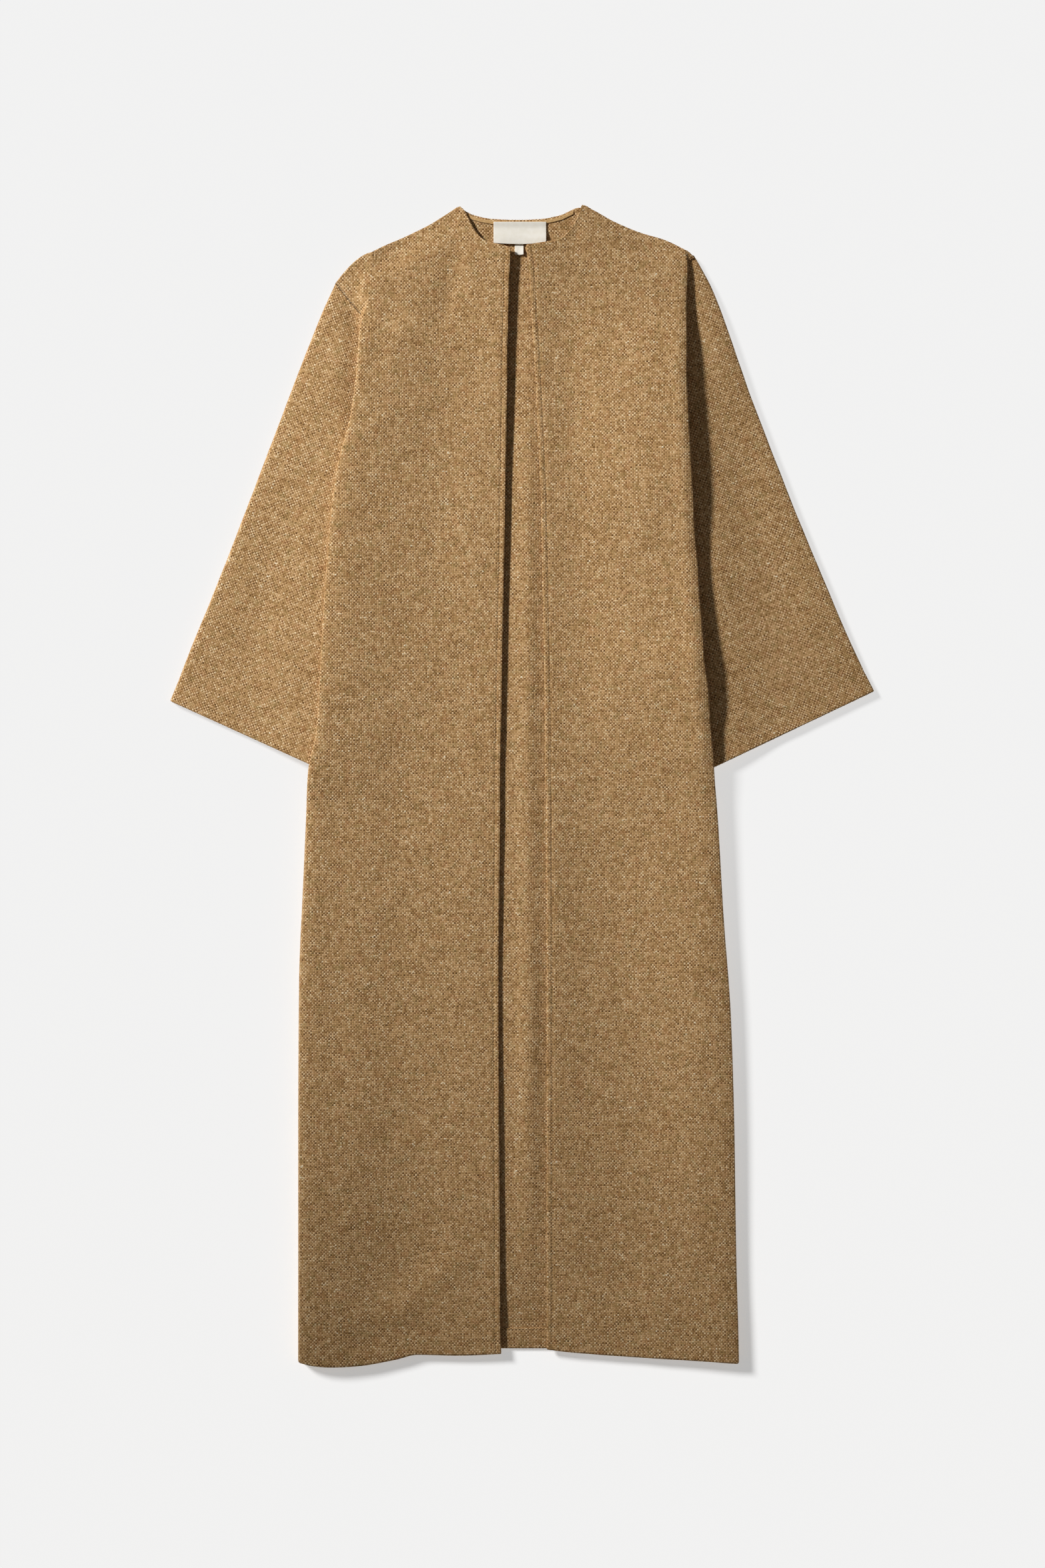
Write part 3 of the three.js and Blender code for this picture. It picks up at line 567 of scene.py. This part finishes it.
def frontSurface(front, shape):
    # y = hem + (top - hem) * share; x runs from the centre edge to the fold
    # z = rest + climb to the fold - slump before it + curl at the centre edge, blended from the top edge's z
    # then an arc of `round` through `turn` and a length `under`
    # hem = half circle about the surface's normal and a straight length back up
    at = {column: curveOf(front["levels"], "y", column) for column in front["levels"] if column != "y"}
    topY, topZ = curveOf(front["top"], "across", "y"), curveOf(front["top"], "across", "height")
    hemY = curveOf(front["hem"], "across", "y")
    outside = front["outside"]
    share = 1 - stations(shape["length"], cloth["step"], cloth["edge"])[:, None]
    middleY = hemY(0.5) + (topY(0.5) - hemY(0.5)) * share

    def rolledShare(level, part="roll"):
        return smooth((at["turn"](level) - shape[part + "Start"]) / shape[part + "Over"])

    def arcWidth(level):
        return at["round"](level) * (1 - (1 - shape["foldFlatness"]) * rolledShare(level))

    width = np.abs(at["side"](middleY) - at["centre"](middleY)) - arcWidth(middleY)
    near = np.array(shape["nearEdge"])[None] / width
    across = np.concatenate([near, near[:, -1:] + (1 - near[:, -1:]) * stepShares(shape["acrossSteps"])],
                            axis=1)

    y = hemY(across) + (topY(across) - hemY(across)) * share
    foldStart = at["side"](y) - outside * arcWidth(y)
    x = at["centre"](y) + (foldStart - at["centre"](y)) * across
    fromFold, fromCentre = np.abs(foldStart - x), np.abs(x - at["centre"](y))
    climb = (at["crest"](y) - at["rest"](y)) * (1 - smooth(fromFold / shape["foldReach"]))
    curl = (at["lift"](y) - at["rest"](y)) * (1 - smooth(fromCentre / shape["edgeReach"]))
    sunk = at["slump"](y) + shape["foldSink"] * rolledShare(y)
    sunk = sunk * np.clip(1 - fromFold / shape["slumpReach"], 0, 1) ** 2
    rise = smooth((topY(across) - y) / shape["shoulderReach"])
    z = topZ(across) + (at["rest"](y) + climb + curl - sunk - topZ(across)) * rise

    # rolled fold and the cloth turned under
    startX, startY, startZ = x[:, -1:], y[:, -1:], z[:, -1:]
    radius, turn = at["round"](startY), np.radians(at["turn"](startY))
    angle = turn * stepShares(shape["arcSteps"])
    arcX = startX + outside * arcWidth(startY) * np.sin(angle)
    arcZ = startZ + radius * (np.cos(angle) - 1)
    along = stepShares(shape["underSteps"])[None]
    length = at["under"](startY) * along
    underX = arcX[:, -1:] + outside * np.cos(turn) * length
    underZ = arcZ[:, -1:] - np.sin(turn) * length
    underY = startY - at["drop"](startY) * along ** shape["dropCurve"]
    y = np.concatenate([y, startY + 0 * arcX, underY], axis=1)
    fullX, fullZ = np.concatenate([x, arcX, underX], axis=1), np.concatenate([z, arcZ, underZ], axis=1)
    panel = np.stack([fullX, y, fullZ], axis=2)
    arcU = startX + outside * radius * angle
    u = np.concatenate([x, arcU, arcU[:, -1:] + outside * length], axis=1)
    uv = np.stack([u, y], axis=2)

    # relief: soft folds, unevenness, the groove of the topstitching and the bulges beside it
    flatColumns = x.shape[1]
    plain = rolledShare(y[:, :flatColumns], "plain")
    fade = rise * (1 - plain * (1 - smooth(fromFold / shape["plainEdge"])))
    fade = np.concatenate([fade, np.repeat(fade[:, -1:], u.shape[1] - flatColumns, axis=1)], axis=1)
    inEdge = np.abs(u - at["centre"](y))
    relief = foldRelief(u, y, front["folds"]) + unevenness(u, y, front["seed"], shape["unevenness"])
    relief = relief * fade * smooth(inEdge / shape["reliefStart"])
    for height, middle, spread in shape["edgeBands"]:
        relief = relief + height * np.exp(-(((inEdge - middle) / spread) ** 2))
    panel = panel - outside * surfaceNormals(panel) * relief[..., None]

    # hem
    normal = surfaceNormals(panel)[-1] * -outside
    down = np.array([0, -1, 0])
    bend = math.pi * stepShares(shape["hemSteps"])[:, None, None]
    turnUp = shape["hemTurn"] * stepShares(shape["turnUpSteps"])[:, None, None]
    turned = panel[-1] + shape["hemRound"] * (normal * (np.cos(bend) - 1) + down * np.sin(bend))
    hemUv = uv[-1] + down[:2] * shape["hemRound"] * bend
    grid = np.concatenate([panel, turned, turned[-1] - down * turnUp])
    uv = np.concatenate([uv, hemUv, hemUv[-1] + down[:2] * turnUp])
    edgeIn = np.abs(uv[..., 0] - at["centre"](uv[..., 1]))
    seam = np.stack([edgeIn - shape["stitchIn"], uv[..., 1]], axis=2)
    facing = shape["facing"] * (1 - smooth((edgeIn - shape["facingWidth"]) / shape["facingFade"] + 1))
    facing[len(panel):] = 0
    front.update(grid=grid, uv=uv, flatColumns=flatColumns, panelRows=len(panel))
    return grid, uv, seam, facing


for name, front in (("front_right", rightFront), ("front_left", leftFront)):
    grid, uv, seam, facing = frontSurface(front, frontShape)
    front["piece"] = clothShell(name + "_tweed", grid, uv, tweed, name, seam=seam,
                                outer=-front["outside"], below=facing)

# back: one flat panel, and the strip turned up along its hem
backPanel = {
    "edge": {
        "x": [-176, -150, -117, -84, -77, -60, -35, -5, 22, 46, 71, 95, 128, 160, 187],
        "y": [654.5, 667, 683.5, 702, 705.5, 698, 693, 692, 693, 697.5, 707, 698, 681.5, 668.5, 656],
    },
    "hemRight": -700.0, "hemMiddle": -691.0, "hemLeft": -699.0,
    "hemLevel": 0.27, "hemBlend": 0.45,
    "sideInset": 14.0,
    "nap": 0.12,  # raised fibres over the wall
    "hemTurn": 24.5,
    "stitchUp": 22.4, "groove": (-0.45, 1.2),  # stitching above the hem; its groove's height and width
    "folds": [(8, 700, 8, -664, 0, 14, 3.2), (8, -130, 8, -664, 0, 14, 1.6)],
}


def backSurface(panel, share, down):
    # y falls from the top edge to the hem; x runs between the two fold lines, each moved in by sideInset
    edge = curveOf(panel["edge"], "x", "y")
    right, left = (curveOf(front["levels"], "y", "side") for front in (rightFront, leftFront))
    first, last = panel["edge"]["x"][0], panel["edge"]["x"][-1]
    top = edge(first + (last - first) * share)
    ends = panel["hemRight"] + (panel["hemLeft"] - panel["hemRight"]) * share
    inner = smooth((1 - np.abs(2 * share - 1) - panel["hemLevel"]) / panel["hemBlend"])
    y = top + (ends + (panel["hemMiddle"] - ends) * inner - top) * down
    fromRight, fromLeft = right(y) + panel["sideInset"], left(y) - panel["sideInset"]
    x = fromRight + (fromLeft - fromRight) * share
    return x, y


share = stations(500, cloth["step"], cloth["edge"])[None]
down = stations(1380, 7, cloth["edge"])[:, None]
x, y = backSurface(backPanel, share, down)
grid = np.stack([x, y, 0 * x + cloth["wall"] / 2], axis=2)
relief = foldRelief(x, y, backPanel["folds"]) + backPanel["nap"] + unevenness(x, y, 21, 0.1)
neckLine = grid[0, 3:-3]
backPiece = clothShell("back_tweed", grid, np.stack([x, y], axis=2), tweed, "back", outer=-1,
                       above=relief)

stripUp = stations(backPanel["hemTurn"], 2.4, cloth["edge"])[:, None]
x, y = backSurface(backPanel, 0.04 + 0.92 * share, np.ones_like(stripUp))
stripY = y + 1 + backPanel["hemTurn"] * stripUp
grid = np.stack([x + 0 * stripY, stripY, 0 * stripY + 1.5 * cloth["wall"] + cloth["air"]], axis=2)
fromSeam = stripUp * backPanel["hemTurn"] - backPanel["stitchUp"]
depth, width = backPanel["groove"]
grid[..., 2] += depth * np.exp(-((fromSeam / width) ** 2))
seam = np.stack([fromSeam + 0 * x, grid[..., 0]], axis=2)
turnUpPiece = clothShell("back_hem_turn_up_tweed", grid, grid[..., :2] * [1, -1], tweed,
                         "back_hem_turn_up", outer=1, seam=seam)

# sleeves: flat tubes between the armhole seam and the cuff, resting on the table and on the body's side
rightSleeve = {
    "armhole": {"along": [0, 0.05, 0.12, 0.3, 0.6, 1], "x": [-227, -212, -195, -190, -178, -172],
                "y": [615, 599, 573, 520, 430, 318]},
    "outerFold": {"along": [0, 0.065, 0.12, 0.24, 0.4, 0.56, 0.72, 0.88, 1],
                  "x": [-227, -242, -254, -278, -309, -340, -372, -405, -430],
                  "y": [615, 582, 552, 491, 409, 328, 246, 165, 102]},
    "cuffInner": (-238, 15),
    "edgeRound": 3.4,
    "outside": -1,
    "seed": 31,
    "folds": [
        (494, -610, 341, -251, 0, 13, -4.0),
        (205, -490, 150, -380, 4, 12, -0.9),
        (60, -420, 95, -250, 6, 20, 0.7),
    ],
}
leftSleeve = {
    "armhole": {"along": [0, 0.04, 0.15, 0.35, 0.65, 1], "x": [209, 198, 196, 188, 178, 171],
                "y": [648, 636, 600, 535, 435, 330]},
    "outerFold": {"along": [0, 0.04, 0.12, 0.2, 0.31, 0.46, 0.6, 0.75, 0.9, 1],
                  "x": [209, 217, 233, 252, 273, 304, 336, 370, 405, 430],
                  "y": [648, 634, 603, 552, 491, 409, 328, 246, 165, 114]},
    "cuffInner": (213, 11),
    "edgeRound": 1.9,
    "outside": 1,
    "seed": 32,
    "folds": [
        (210, -470, 160, -360, 4, 12, 0.8),
        (60, -430, 100, -240, -6, 20, -0.7),
    ],
}
sleeveShape = {
    "length": 580.0, "flatSteps": 43, "foldSteps": 5,
    "depth": 5.9, "puff": 2.6, "puffReach": 70.0, "puffEnds": 0.2, "foldFlatness": 0.5,
    "rise": 5.4, "reach": 90.0, "armholeTop": 600.0, "armholeClimb": 110.0,
    "cuffHem": 0.9,  # extra thickness inside the cuff
    "cuffHemDepth": 26.0, "cuffHemFade": 5.0,
    "cuffBands": [(-0.3, 26.0, 2.0), (0.25, 4.0, 4.0)],  # groove, bulge: height, distance in, width
    "reliefLength": 560.0,  # of the sleeve, for the relief's distances
    "headPlain": 12.0,  # width beside the armhole that has no other relief
    "belowShare": 0.3,  # relief of the lower layer
    "unevenness": 0.16,
}


def grainAxes(outside):
    # directions on the table across a sleeve's grain, outwards, and down along it
    tilt = math.radians(weave["sleeveTilt"])
    return (np.array([outside * math.cos(tilt), math.sin(tilt), 0.0]),
            np.array([outside * math.sin(tilt), -math.cos(tilt), 0.0]))


def sleeveSurface(sleeve, front, shape):
    # plan: blend of the four edges = lengthwise mix + crosswise mix - mix of the corners
    # z: lower layer at half a wall + rise beside the body; upper layer `depth` above it, and `puff` more
    # towards the outer fold; half ellipses join them
    outside = sleeve["outside"]
    seamAt = {key: curveOf(sleeve["armhole"], "along", key) for key in ("x", "y")}
    outerAt = {key: curveOf(sleeve["outerFold"], "along", key) for key in ("x", "y")}
    side = curveOf(front["levels"], "y", "side")
    cuffInner = dict(zip("xy", sleeve["cuffInner"]))

    def plan(along, across):
        result = []
        for key in ("x", "y"):
            shoulder, cuffOuter = sleeve["outerFold"][key][0], sleeve["outerFold"][key][-1]
            underarm = sleeve["armhole"][key][-1]
            inner = underarm + (cuffInner[key] - underarm) * along
            cuff = cuffOuter + (cuffInner[key] - cuffOuter) * across
            outer, head = outerAt[key](along), seamAt[key](across)
            outerStraight = shoulder + (cuffOuter - shoulder) * along
            lengthwise = outer + (inner - outer) * across
            crosswise = head + (cuff - head) * along
            corners = outerStraight + (inner - outerStraight) * across
            result.append(lengthwise + crosswise - corners)
        return np.stack(result, axis=2)

    along = stations(shape["length"], cloth["step"], cloth["edge"])[:, None]
    ends = plan(along, np.array([[0.0, 1.0]]))
    width = np.linalg.norm(ends[:, 0] - ends[:, 1], axis=1)[:, None]
    puff = shape["puff"] * smooth(along / shape["puffEnds"]) * smooth((1 - along) / shape["puffEnds"])

    def depthAt(across):
        return shape["depth"] + puff * (1 - smooth(across * width / shape["puffReach"]))

    upperRound, innerRound = sleeve["edgeRound"] + 0 * width, depthAt(1) / 2
    lowerRound = depthAt(0) - upperRound
    quarter = np.linspace(0, math.pi / 2, shape["foldSteps"] + 1)[None]

    def fold(radius, angles, towards, middle):
        # quarter ellipse: radius * flatness * (1 - cos) in from the fold, radius * sin up or down
        inward = shape["foldFlatness"] * radius
        return inward * (1 - np.cos(angles)) / width, middle + towards * radius * np.sin(angles)

    innerUp, innerDown = (fold(innerRound, angles, towards, innerRound)
                          for angles, towards in ((quarter[:, :-1], 1), (quarter[:, -2:0:-1], -1)))
    outerUp, outerDown = (fold(radius, angles, towards, lowerRound) for radius, angles, towards in
                          ((upperRound, quarter[:, -2::-1], 1), (lowerRound, quarter[:, 1:-1], -1)))
    flat = np.linspace(0, 1, shape["flatSteps"] + 1)[None]
    roundShare = shape["foldFlatness"] / width
    upper = 1 - innerRound * roundShare - (1 - (innerRound + upperRound) * roundShare) * flat
    lower = lowerRound * roundShare + (1 - (innerRound + lowerRound) * roundShare) * flat
    sections = [
        (1 - innerUp[0], innerUp[1]),
        (upper, depthAt(upper)),
        outerUp,
        outerDown,
        (lower, 0 * lower),
        (1 - innerDown[0], innerDown[1]),
    ]
    across = np.concatenate([part[0] for part in sections], axis=1)
    height = np.concatenate([part[1] for part in sections], axis=1)
    at = plan(along, across)
    beyond = np.abs(at[..., 0]) - np.abs(side(at[..., 1]))
    climb = 1 - smooth(beyond / shape["reach"])
    base = cloth["wall"] / 2 + shape["rise"] * climb * smooth(
        (shape["armholeTop"] - at[..., 1]) / shape["armholeClimb"])
    grid = np.concatenate([at, (base + height)[..., None]], axis=2)

    # cloth coordinates: across and along the sleeve's own grain, unrolled round the outer fold
    outAxis, downAxis = (axis[:2] for axis in grainAxes(outside))
    a, b = at @ outAxis, at @ downAxis
    foldA = ends[:, :1] @ outAxis
    lastUpper = innerUp[0].shape[1] + flat.shape[1]
    column = np.arange(a.shape[1])[None]
    isBelow = column >= lastUpper + outerUp[0].shape[1]
    arc = math.pi / 2 * depthAt(0) * np.clip(1 - height / depthAt(0), 0, 1)
    u = np.where(isBelow, 2 * foldA - a + arc, a + np.where(column >= lastUpper, arc, 0))
    uv = np.stack([u, b], axis=2)
    closing = uv[:, -1:] + [shape["depth"] / 2 * quarter[0, 1], 0]
    ringUv = np.concatenate([uv, closing], axis=1)

    # relief, less on the lower layer; the cuff's bands are on the upper layer alone
    fromCuff, fromHead = (1 - along) * shape["reliefLength"], along * shape["reliefLength"]
    relief = foldRelief(u, b, sleeve["folds"]) + unevenness(u, b, sleeve["seed"], shape["unevenness"])
    relief = relief * np.where(isBelow, shape["belowShare"], 1) * smooth(fromHead / shape["headPlain"])
    relief = relief * smooth((height + 1) / 4)
    for lift, middle, spread in shape["cuffBands"]:
        relief = relief + lift * np.exp(-(((fromCuff - middle) / spread) ** 2)) * smooth((height - 1) / 3)
    grid = grid - outside * surfaceNormals(grid, True) * relief[..., None]
    beyondHem = smooth((fromCuff - shape["cuffHemDepth"]) / shape["cuffHemFade"] + 1)
    hem = shape["cuffHem"] * (1 - beyondHem) + 0 * a
    return grid, ringUv, hem


for name, sleeve, front in (("sleeve_right", rightSleeve, rightFront),
                            ("sleeve_left", leftSleeve, leftFront)):
    grid, uv, hem = sleeveSurface(sleeve, front, sleeveShape)
    sleeve["grid"], sleeve["uv"] = grid, uv
    sleeve["piece"] = clothShell(name + "_tweed", grid, uv, tweed, name, ring=True,
                                 outer=-sleeve["outside"], below=hem)

# binding and labels inside the back neck
neckTrim = {
    "bindingWidth": 4.2, "bindingInset": 2.2, "bindingRight": -66.0, "bindingLeft": 63.0,
    "bindingDome": 0.35, "bindingGroove": (-0.3, 0.12),  # the groove's height, and its width as a share
    "label": {"right": -35.0, "left": 29.5, "top": 689.4, "bottom": 663.0, "bow": 1.2, "lift": 3.4,
              "above": 1.5, "wall": 0.6},
    "tab": {"right": -9.0, "left": 1.8, "top": 664.0, "bottom": 649.0, "bow": 0.3, "lift": 2.4,
            "above": 1.0, "wall": 0.5},
    "labelEdge": [0, 0.2, 0.6, 1.2],  # stations in from its borders
}
trimHeight = cloth["wall"] + cloth["air"] + cloth["trim"] / 2

along = stations(neckTrim["bindingLeft"] - neckTrim["bindingRight"], 2.0, cloth["edge"])[None]
widthwise = stations(neckTrim["bindingWidth"], 0.7, [0, 0.15, 0.4, 0.8])[:, None]
x = neckTrim["bindingRight"] + (neckTrim["bindingLeft"] - neckTrim["bindingRight"]) * along + 0 * widthwise
edgeY = curveOf(backPanel["edge"], "x", "y")(x)
y = edgeY - neckTrim["bindingInset"] - neckTrim["bindingWidth"] * widthwise
depth, width = neckTrim["bindingGroove"]
dome = neckTrim["bindingDome"] * np.sin(math.pi * widthwise)
dome += depth * np.exp(-(((widthwise - 0.5) / width) ** 2))
grid = np.stack([x, y, trimHeight + dome + 0 * x], axis=2)
bindingPiece = clothShell("neck_binding_tape", grid, np.stack([x, y - edgeY], axis=2), tape,
                          "neck_binding", outer=-1, wall=cloth["trim"])


def labelSurface(label, topHeight):
    # rectangle with a bowed bottom edge: z dips 0.9 below its stitched top, then lifts towards its free end,
    # more at the wearer's left, with a slight wave across
    wide, long = label["left"] - label["right"], label["top"] - label["bottom"]
    across = stations(wide, 2.0, neckTrim["labelEdge"])[None]
    down = stations(long, 1.5, neckTrim["labelEdge"])[:, None]
    x = label["right"] + wide * across + 0 * down
    y = label["top"] - long * down - label["bow"] * down * np.sin(math.pi * across)
    free = smooth((down - 0.15) / 0.7)
    wave = 0.25 * np.sin(math.pi * (across * 2.3 + 0.2)) * free
    z = topHeight - 0.9 * smooth(down / 0.3) + label["lift"] * free * (0.6 + 0.4 * across) + wave
    return np.stack([x, y, z], axis=2)


for key, node in (("label", "neck_label"), ("tab", "size_tab")):
    part = neckTrim[key]
    grid = labelSurface(part, trimHeight + part["above"])
    part["piece"] = clothShell(node + "_satin", grid, grid[..., :2], satin, node, outer=-1,
                               wall=part["wall"])
print("cloth pieces made")


# sewing thread and the yarns that stand out along the edges
def alongLine(line, pitch, other):
    # points every `pitch` along a polyline, its direction there, and `other`, given for its points
    run = np.concatenate([[0], np.cumsum(np.linalg.norm(np.diff(line, axis=0), axis=1))])
    at = np.arange(pitch / 2, run[-1], pitch)

    def between(values, shift=0):
        return np.stack([np.interp(at + shift, run, column) for column in values.T], axis=1)

    heading = between(line, 1) - between(line, -1)
    heading /= np.maximum(np.linalg.norm(heading, axis=1, keepdims=True), 1e-6)
    return between(line), heading, between(other)


def makeBeads(name, line, uv, out, bead, shift, material, seed):
    # ellipsoids of `sides` x `bands` faces along a line, moved by shift * out
    # half lengths: sideways, outward and along the line, each times 0.75 to 1.25
    rng = np.random.default_rng(seed)
    spots, heading, uv = alongLine(line, bead["pitch"], uv)
    out = np.array([out], float)
    spots = spots + out * shift
    outward = out - heading * (out * heading).sum(axis=1, keepdims=True)
    outward /= np.maximum(np.linalg.norm(outward, axis=1, keepdims=True), 1e-6)
    sideways = np.cross(heading, outward)
    sides, bands, polar = 6, 4, 1.35  # the end rings lie at `polar` radians
    around, up = np.meshgrid(np.arange(sides) * 2 * math.pi / sides, np.linspace(-polar, polar, bands + 1))
    unit = np.stack([np.cos(up) * np.cos(around), np.cos(up) * np.sin(around), np.sin(up)], axis=-1)
    index = np.arange(sides * (bands + 1)).reshape(bands + 1, sides)
    after = np.roll(index, -1, axis=1)
    faces = np.stack([index[:-1], after[:-1], after[1:], index[1:]], axis=-1).reshape(-1, 4)
    scale = np.array(bead["half"])[None] * rng.uniform(0.75, 1.25, (len(spots), 3))
    local = unit.reshape(-1, 3)[None] * scale[:, None]
    points = spots[:, None]
    for i, axis in ((2, heading), (0, sideways), (1, outward)):
        points = points + local[..., i:i + 1] * axis[:, None]
    allFaces = (faces[None] + index.size * np.arange(len(spots))[:, None, None]).reshape(-1, 4)
    corners = np.repeat(uv * mm, faces.size, axis=0).reshape(-1, 4, 2)
    layers = {"weave": corners, "seam": corners * 0 + 1}
    return makePiece(name, points.reshape(-1, 3), allFaces, layers, material)


stitching = {"pitch": 4.3, "half": [0.34, 0.24, 1.25], "sink": 0.05, "fromEnds": (3, 2)}
edgeYarns = {
    "pitch": 2.1, "half": [0.65, 0.5, 0.9], "out": 0.7,
    "below": 12.0,  # height y under which the rolled folds lie on the table, not on a sleeve
    "seamTurn": 60,  # degrees of turn up to which a front's side edge is the armhole seam
    "cuff": slice(6, 50),  # columns of the upper layer
}
stitchColumn = frontShape["nearEdge"].index(frontShape["stitchIn"])
for name, front in (("front_right", rightFront), ("front_left", leftFront)):
    grid, uv, outside = front["grid"], front["uv"], front["outside"]
    flat, panelRows = front["flatColumns"], front["panelRows"]
    first, last = stitching["fromEnds"]
    line = grid[first:panelRows - last, stitchColumn] + [0, 0, cloth["wall"] / 2 - stitching["sink"]]
    makeBeads(name + "_topstitching", line, line[:, :2], [0, 0, 1], stitching, 0, thread, 5)
    y = grid[:panelRows - 2, flat + 5, 1]  # half way round the fold
    seamRows = np.flatnonzero(curveOf(front["levels"], "y", "turn")(y) < edgeYarns["seamTurn"])
    rows = np.flatnonzero(y < edgeYarns["below"])
    fold = np.argmax(grid[rows, :, 0] * outside, axis=1)
    hemRow = panelRows + frontShape["hemSteps"] // 2 - 1
    outlines = [("fold", (rows, fold), [outside, 0, 0.2], edgeYarns["out"]),
                ("hem", (hemRow, slice(2, flat)), [0, -1, 0.2], edgeYarns["out"]),
                ("armhole_seam", (seamRows, -1), [0.3 * outside, -0.3, 0.5], edgeYarns["out"]),
                ("shoulder", (0, slice(1, flat)), [0, 1, 0], 0)]
    for part, spot, out, shift in outlines:
        makeBeads(f"{name}_{part}_yarns", grid[spot], uv[spot], out, edgeYarns, shift, tweed, 6)
for name, sleeve in (("sleeve_right", rightSleeve), ("sleeve_left", leftSleeve)):
    outAxis, downAxis = grainAxes(sleeve["outside"])
    grid, uv = sleeve["grid"], sleeve["uv"]
    fold = np.argmax(grid[2:-2] @ outAxis, axis=1)
    rows = np.arange(2, 2 + len(fold))
    outlines = [("fold", (rows, fold), outAxis, edgeYarns["out"]),
                ("cuff", (-1, edgeYarns["cuff"]), downAxis, 0)]
    for part, spot, out, shift in outlines:
        makeBeads(f"{name}_{part}_yarns", grid[spot], uv[spot], out, edgeYarns, shift, tweed, 7)
makeBeads("back_neck_yarns", neckLine, neckLine[:, :2], [0, 1, 0], edgeYarns, 0, tweed, 8)
print("thread and edge yarns made")
# floor, light and camera
studio = {
    "keyFrom": (-0.656, 0.512, 0.555),  # towards the lamp
    "keyDistance": 4.0,
    "keyAim": (-0.13, 0.18, 0.0),
    "keyPower": 805.0,
    "keyCone": 31.0,
    "keyRadius": 0.24,
    "sunFrom": (-0.665, 0.530, 0.526),
    "sunPower": 3.25,
    "sunAngle": 13.0,
    "fill": 0.115,
    "floorTone": 0.885,  # of the lit floor, linear
    "floorReach": 12.0, "floorLevel": -0.0002,
    "shadowDepth": [(-0.70, 0.46), (-0.20, 0.30), (0.45, 0.17)],  # share of its light from the sun, by y
    "lens": 74.9,
    "cameraAt": (0.0004, 0.0008, 4.0),
}


def addLamp(name, kind, place, aim, settings):
    data = bpy.data.lights.new(name, kind)
    for key, value in settings.items():
        setattr(data, key, value)
    lamp = bpy.data.objects.new(name, data)
    bpy.context.scene.collection.objects.link(lamp)
    direction = np.array(aim) - np.array(place)
    lamp.location = place
    lamp.rotation_euler = (math.atan2(math.hypot(direction[0], direction[1]), -direction[2]), 0,
                           math.atan2(direction[1], direction[0]) - math.pi / 2)
    return lamp


floorMesh = bpy.data.meshes.new("studioFloor")
reach, level = studio["floorReach"], studio["floorLevel"]
corners = [(-reach, -reach, level), (reach, -reach, level), (reach, reach, level), (-reach, reach, level)]
floorMesh.from_pydata(corners, [], [(0, 1, 2, 3)])
floor = bpy.data.objects.new("studioFloor", floorMesh)
bpy.context.scene.collection.objects.link(floor)
# Matt acrylic table lit from behind: plain white, its own glow stronger towards the top.
tableTop, add = newMaterial("mattLightTable")
place = add("TexCoord")
height = add("SeparateXYZ", {0: (place, "Object")})
lowest, highest = studio["shadowDepth"][0][0], studio["shadowDepth"][-1][0]
at = add("MapRange", {"Value": (height, "Y"), "From Min": lowest, "From Max": highest})
sunlight = studio["sunPower"] * studio["sunFrom"][2]
skylight = math.pi * studio["fill"]
reflected, glowing = [], []
for level, share in studio["shadowDepth"]:
    # the reflected part of floorTone is `lit`, the fill's part with it, and the glow gives the rest
    lit = share * (1 + skylight / sunlight)
    position = (level - lowest) / (highest - lowest)
    reflected.append((position, [studio["floorTone"] * math.pi * lit / (sunlight + skylight)] * 3 + [1.0]))
    glowing.append((position, [studio["floorTone"] * (1 - lit)] * 3 + [1.0]))
ramps = [add("ValToRGB", {0: at}) for _ in range(2)]
fillRamp(ramps[0], reflected)
fillRamp(ramps[1], glowing)
tableShader = add("BsdfPrincipled", {"Base Color": ramps[0], "Roughness": 1.0, "Specular IOR Level": 0.0,
                                     "Emission Color": ramps[1], "Emission Strength": 1.0})
add("OutputMaterial", {"Surface": tableShader})
floorMesh.materials.append(tableTop)
floor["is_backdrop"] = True

aim = np.array(studio["keyAim"])
towards = np.array(studio["keyFrom"])
key = addLamp("keyLamp", "SPOT", aim + towards * studio["keyDistance"], aim,
              {"energy": studio["keyPower"], "shadow_soft_size": studio["keyRadius"],
               "spot_size": math.radians(studio["keyCone"]), "spot_blend": 1.0,
               "color": (1.0, 0.985, 0.96)})
sun = addLamp("floorSun", "SUN", np.array(studio["sunFrom"]) * 4, (0, 0, 0),
              {"energy": studio["sunPower"], "angle": math.radians(studio["sunAngle"])})
# the sun lights the floor alone, so that it stays plain, and the lamp lights only the garment
onlyFloor = bpy.data.collections.new("onlyFloor")
onlyFloor.objects.link(floor)
sun.light_linking.receiver_collection = onlyFloor
allButFloor = bpy.data.collections.new("allButFloor")
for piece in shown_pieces():
    allButFloor.objects.link(piece)
key.light_linking.receiver_collection = allButFloor

world = bpy.data.worlds.new("studioFill")
world.use_nodes = True
world.node_tree.nodes.clear()
backdrop = addNode(world.node_tree, "Background",
                   {"Color": (1.0, 0.97, 0.92, 1.0), "Strength": studio["fill"]})
addNode(world.node_tree, "OutputWorld", {"Surface": backdrop})
bpy.context.scene.world = world
bpy.context.scene.view_settings.view_transform = "Standard"

cameraData = bpy.data.cameras.new("camera")
cameraData.sensor_width = 36.0
cameraData.lens = studio["lens"]
camera = bpy.data.objects.new("camera", cameraData)
camera.location = studio["cameraAt"]
bpy.context.scene.collection.objects.link(camera)
bpy.context.scene.camera = camera
print("floor, light and camera made")
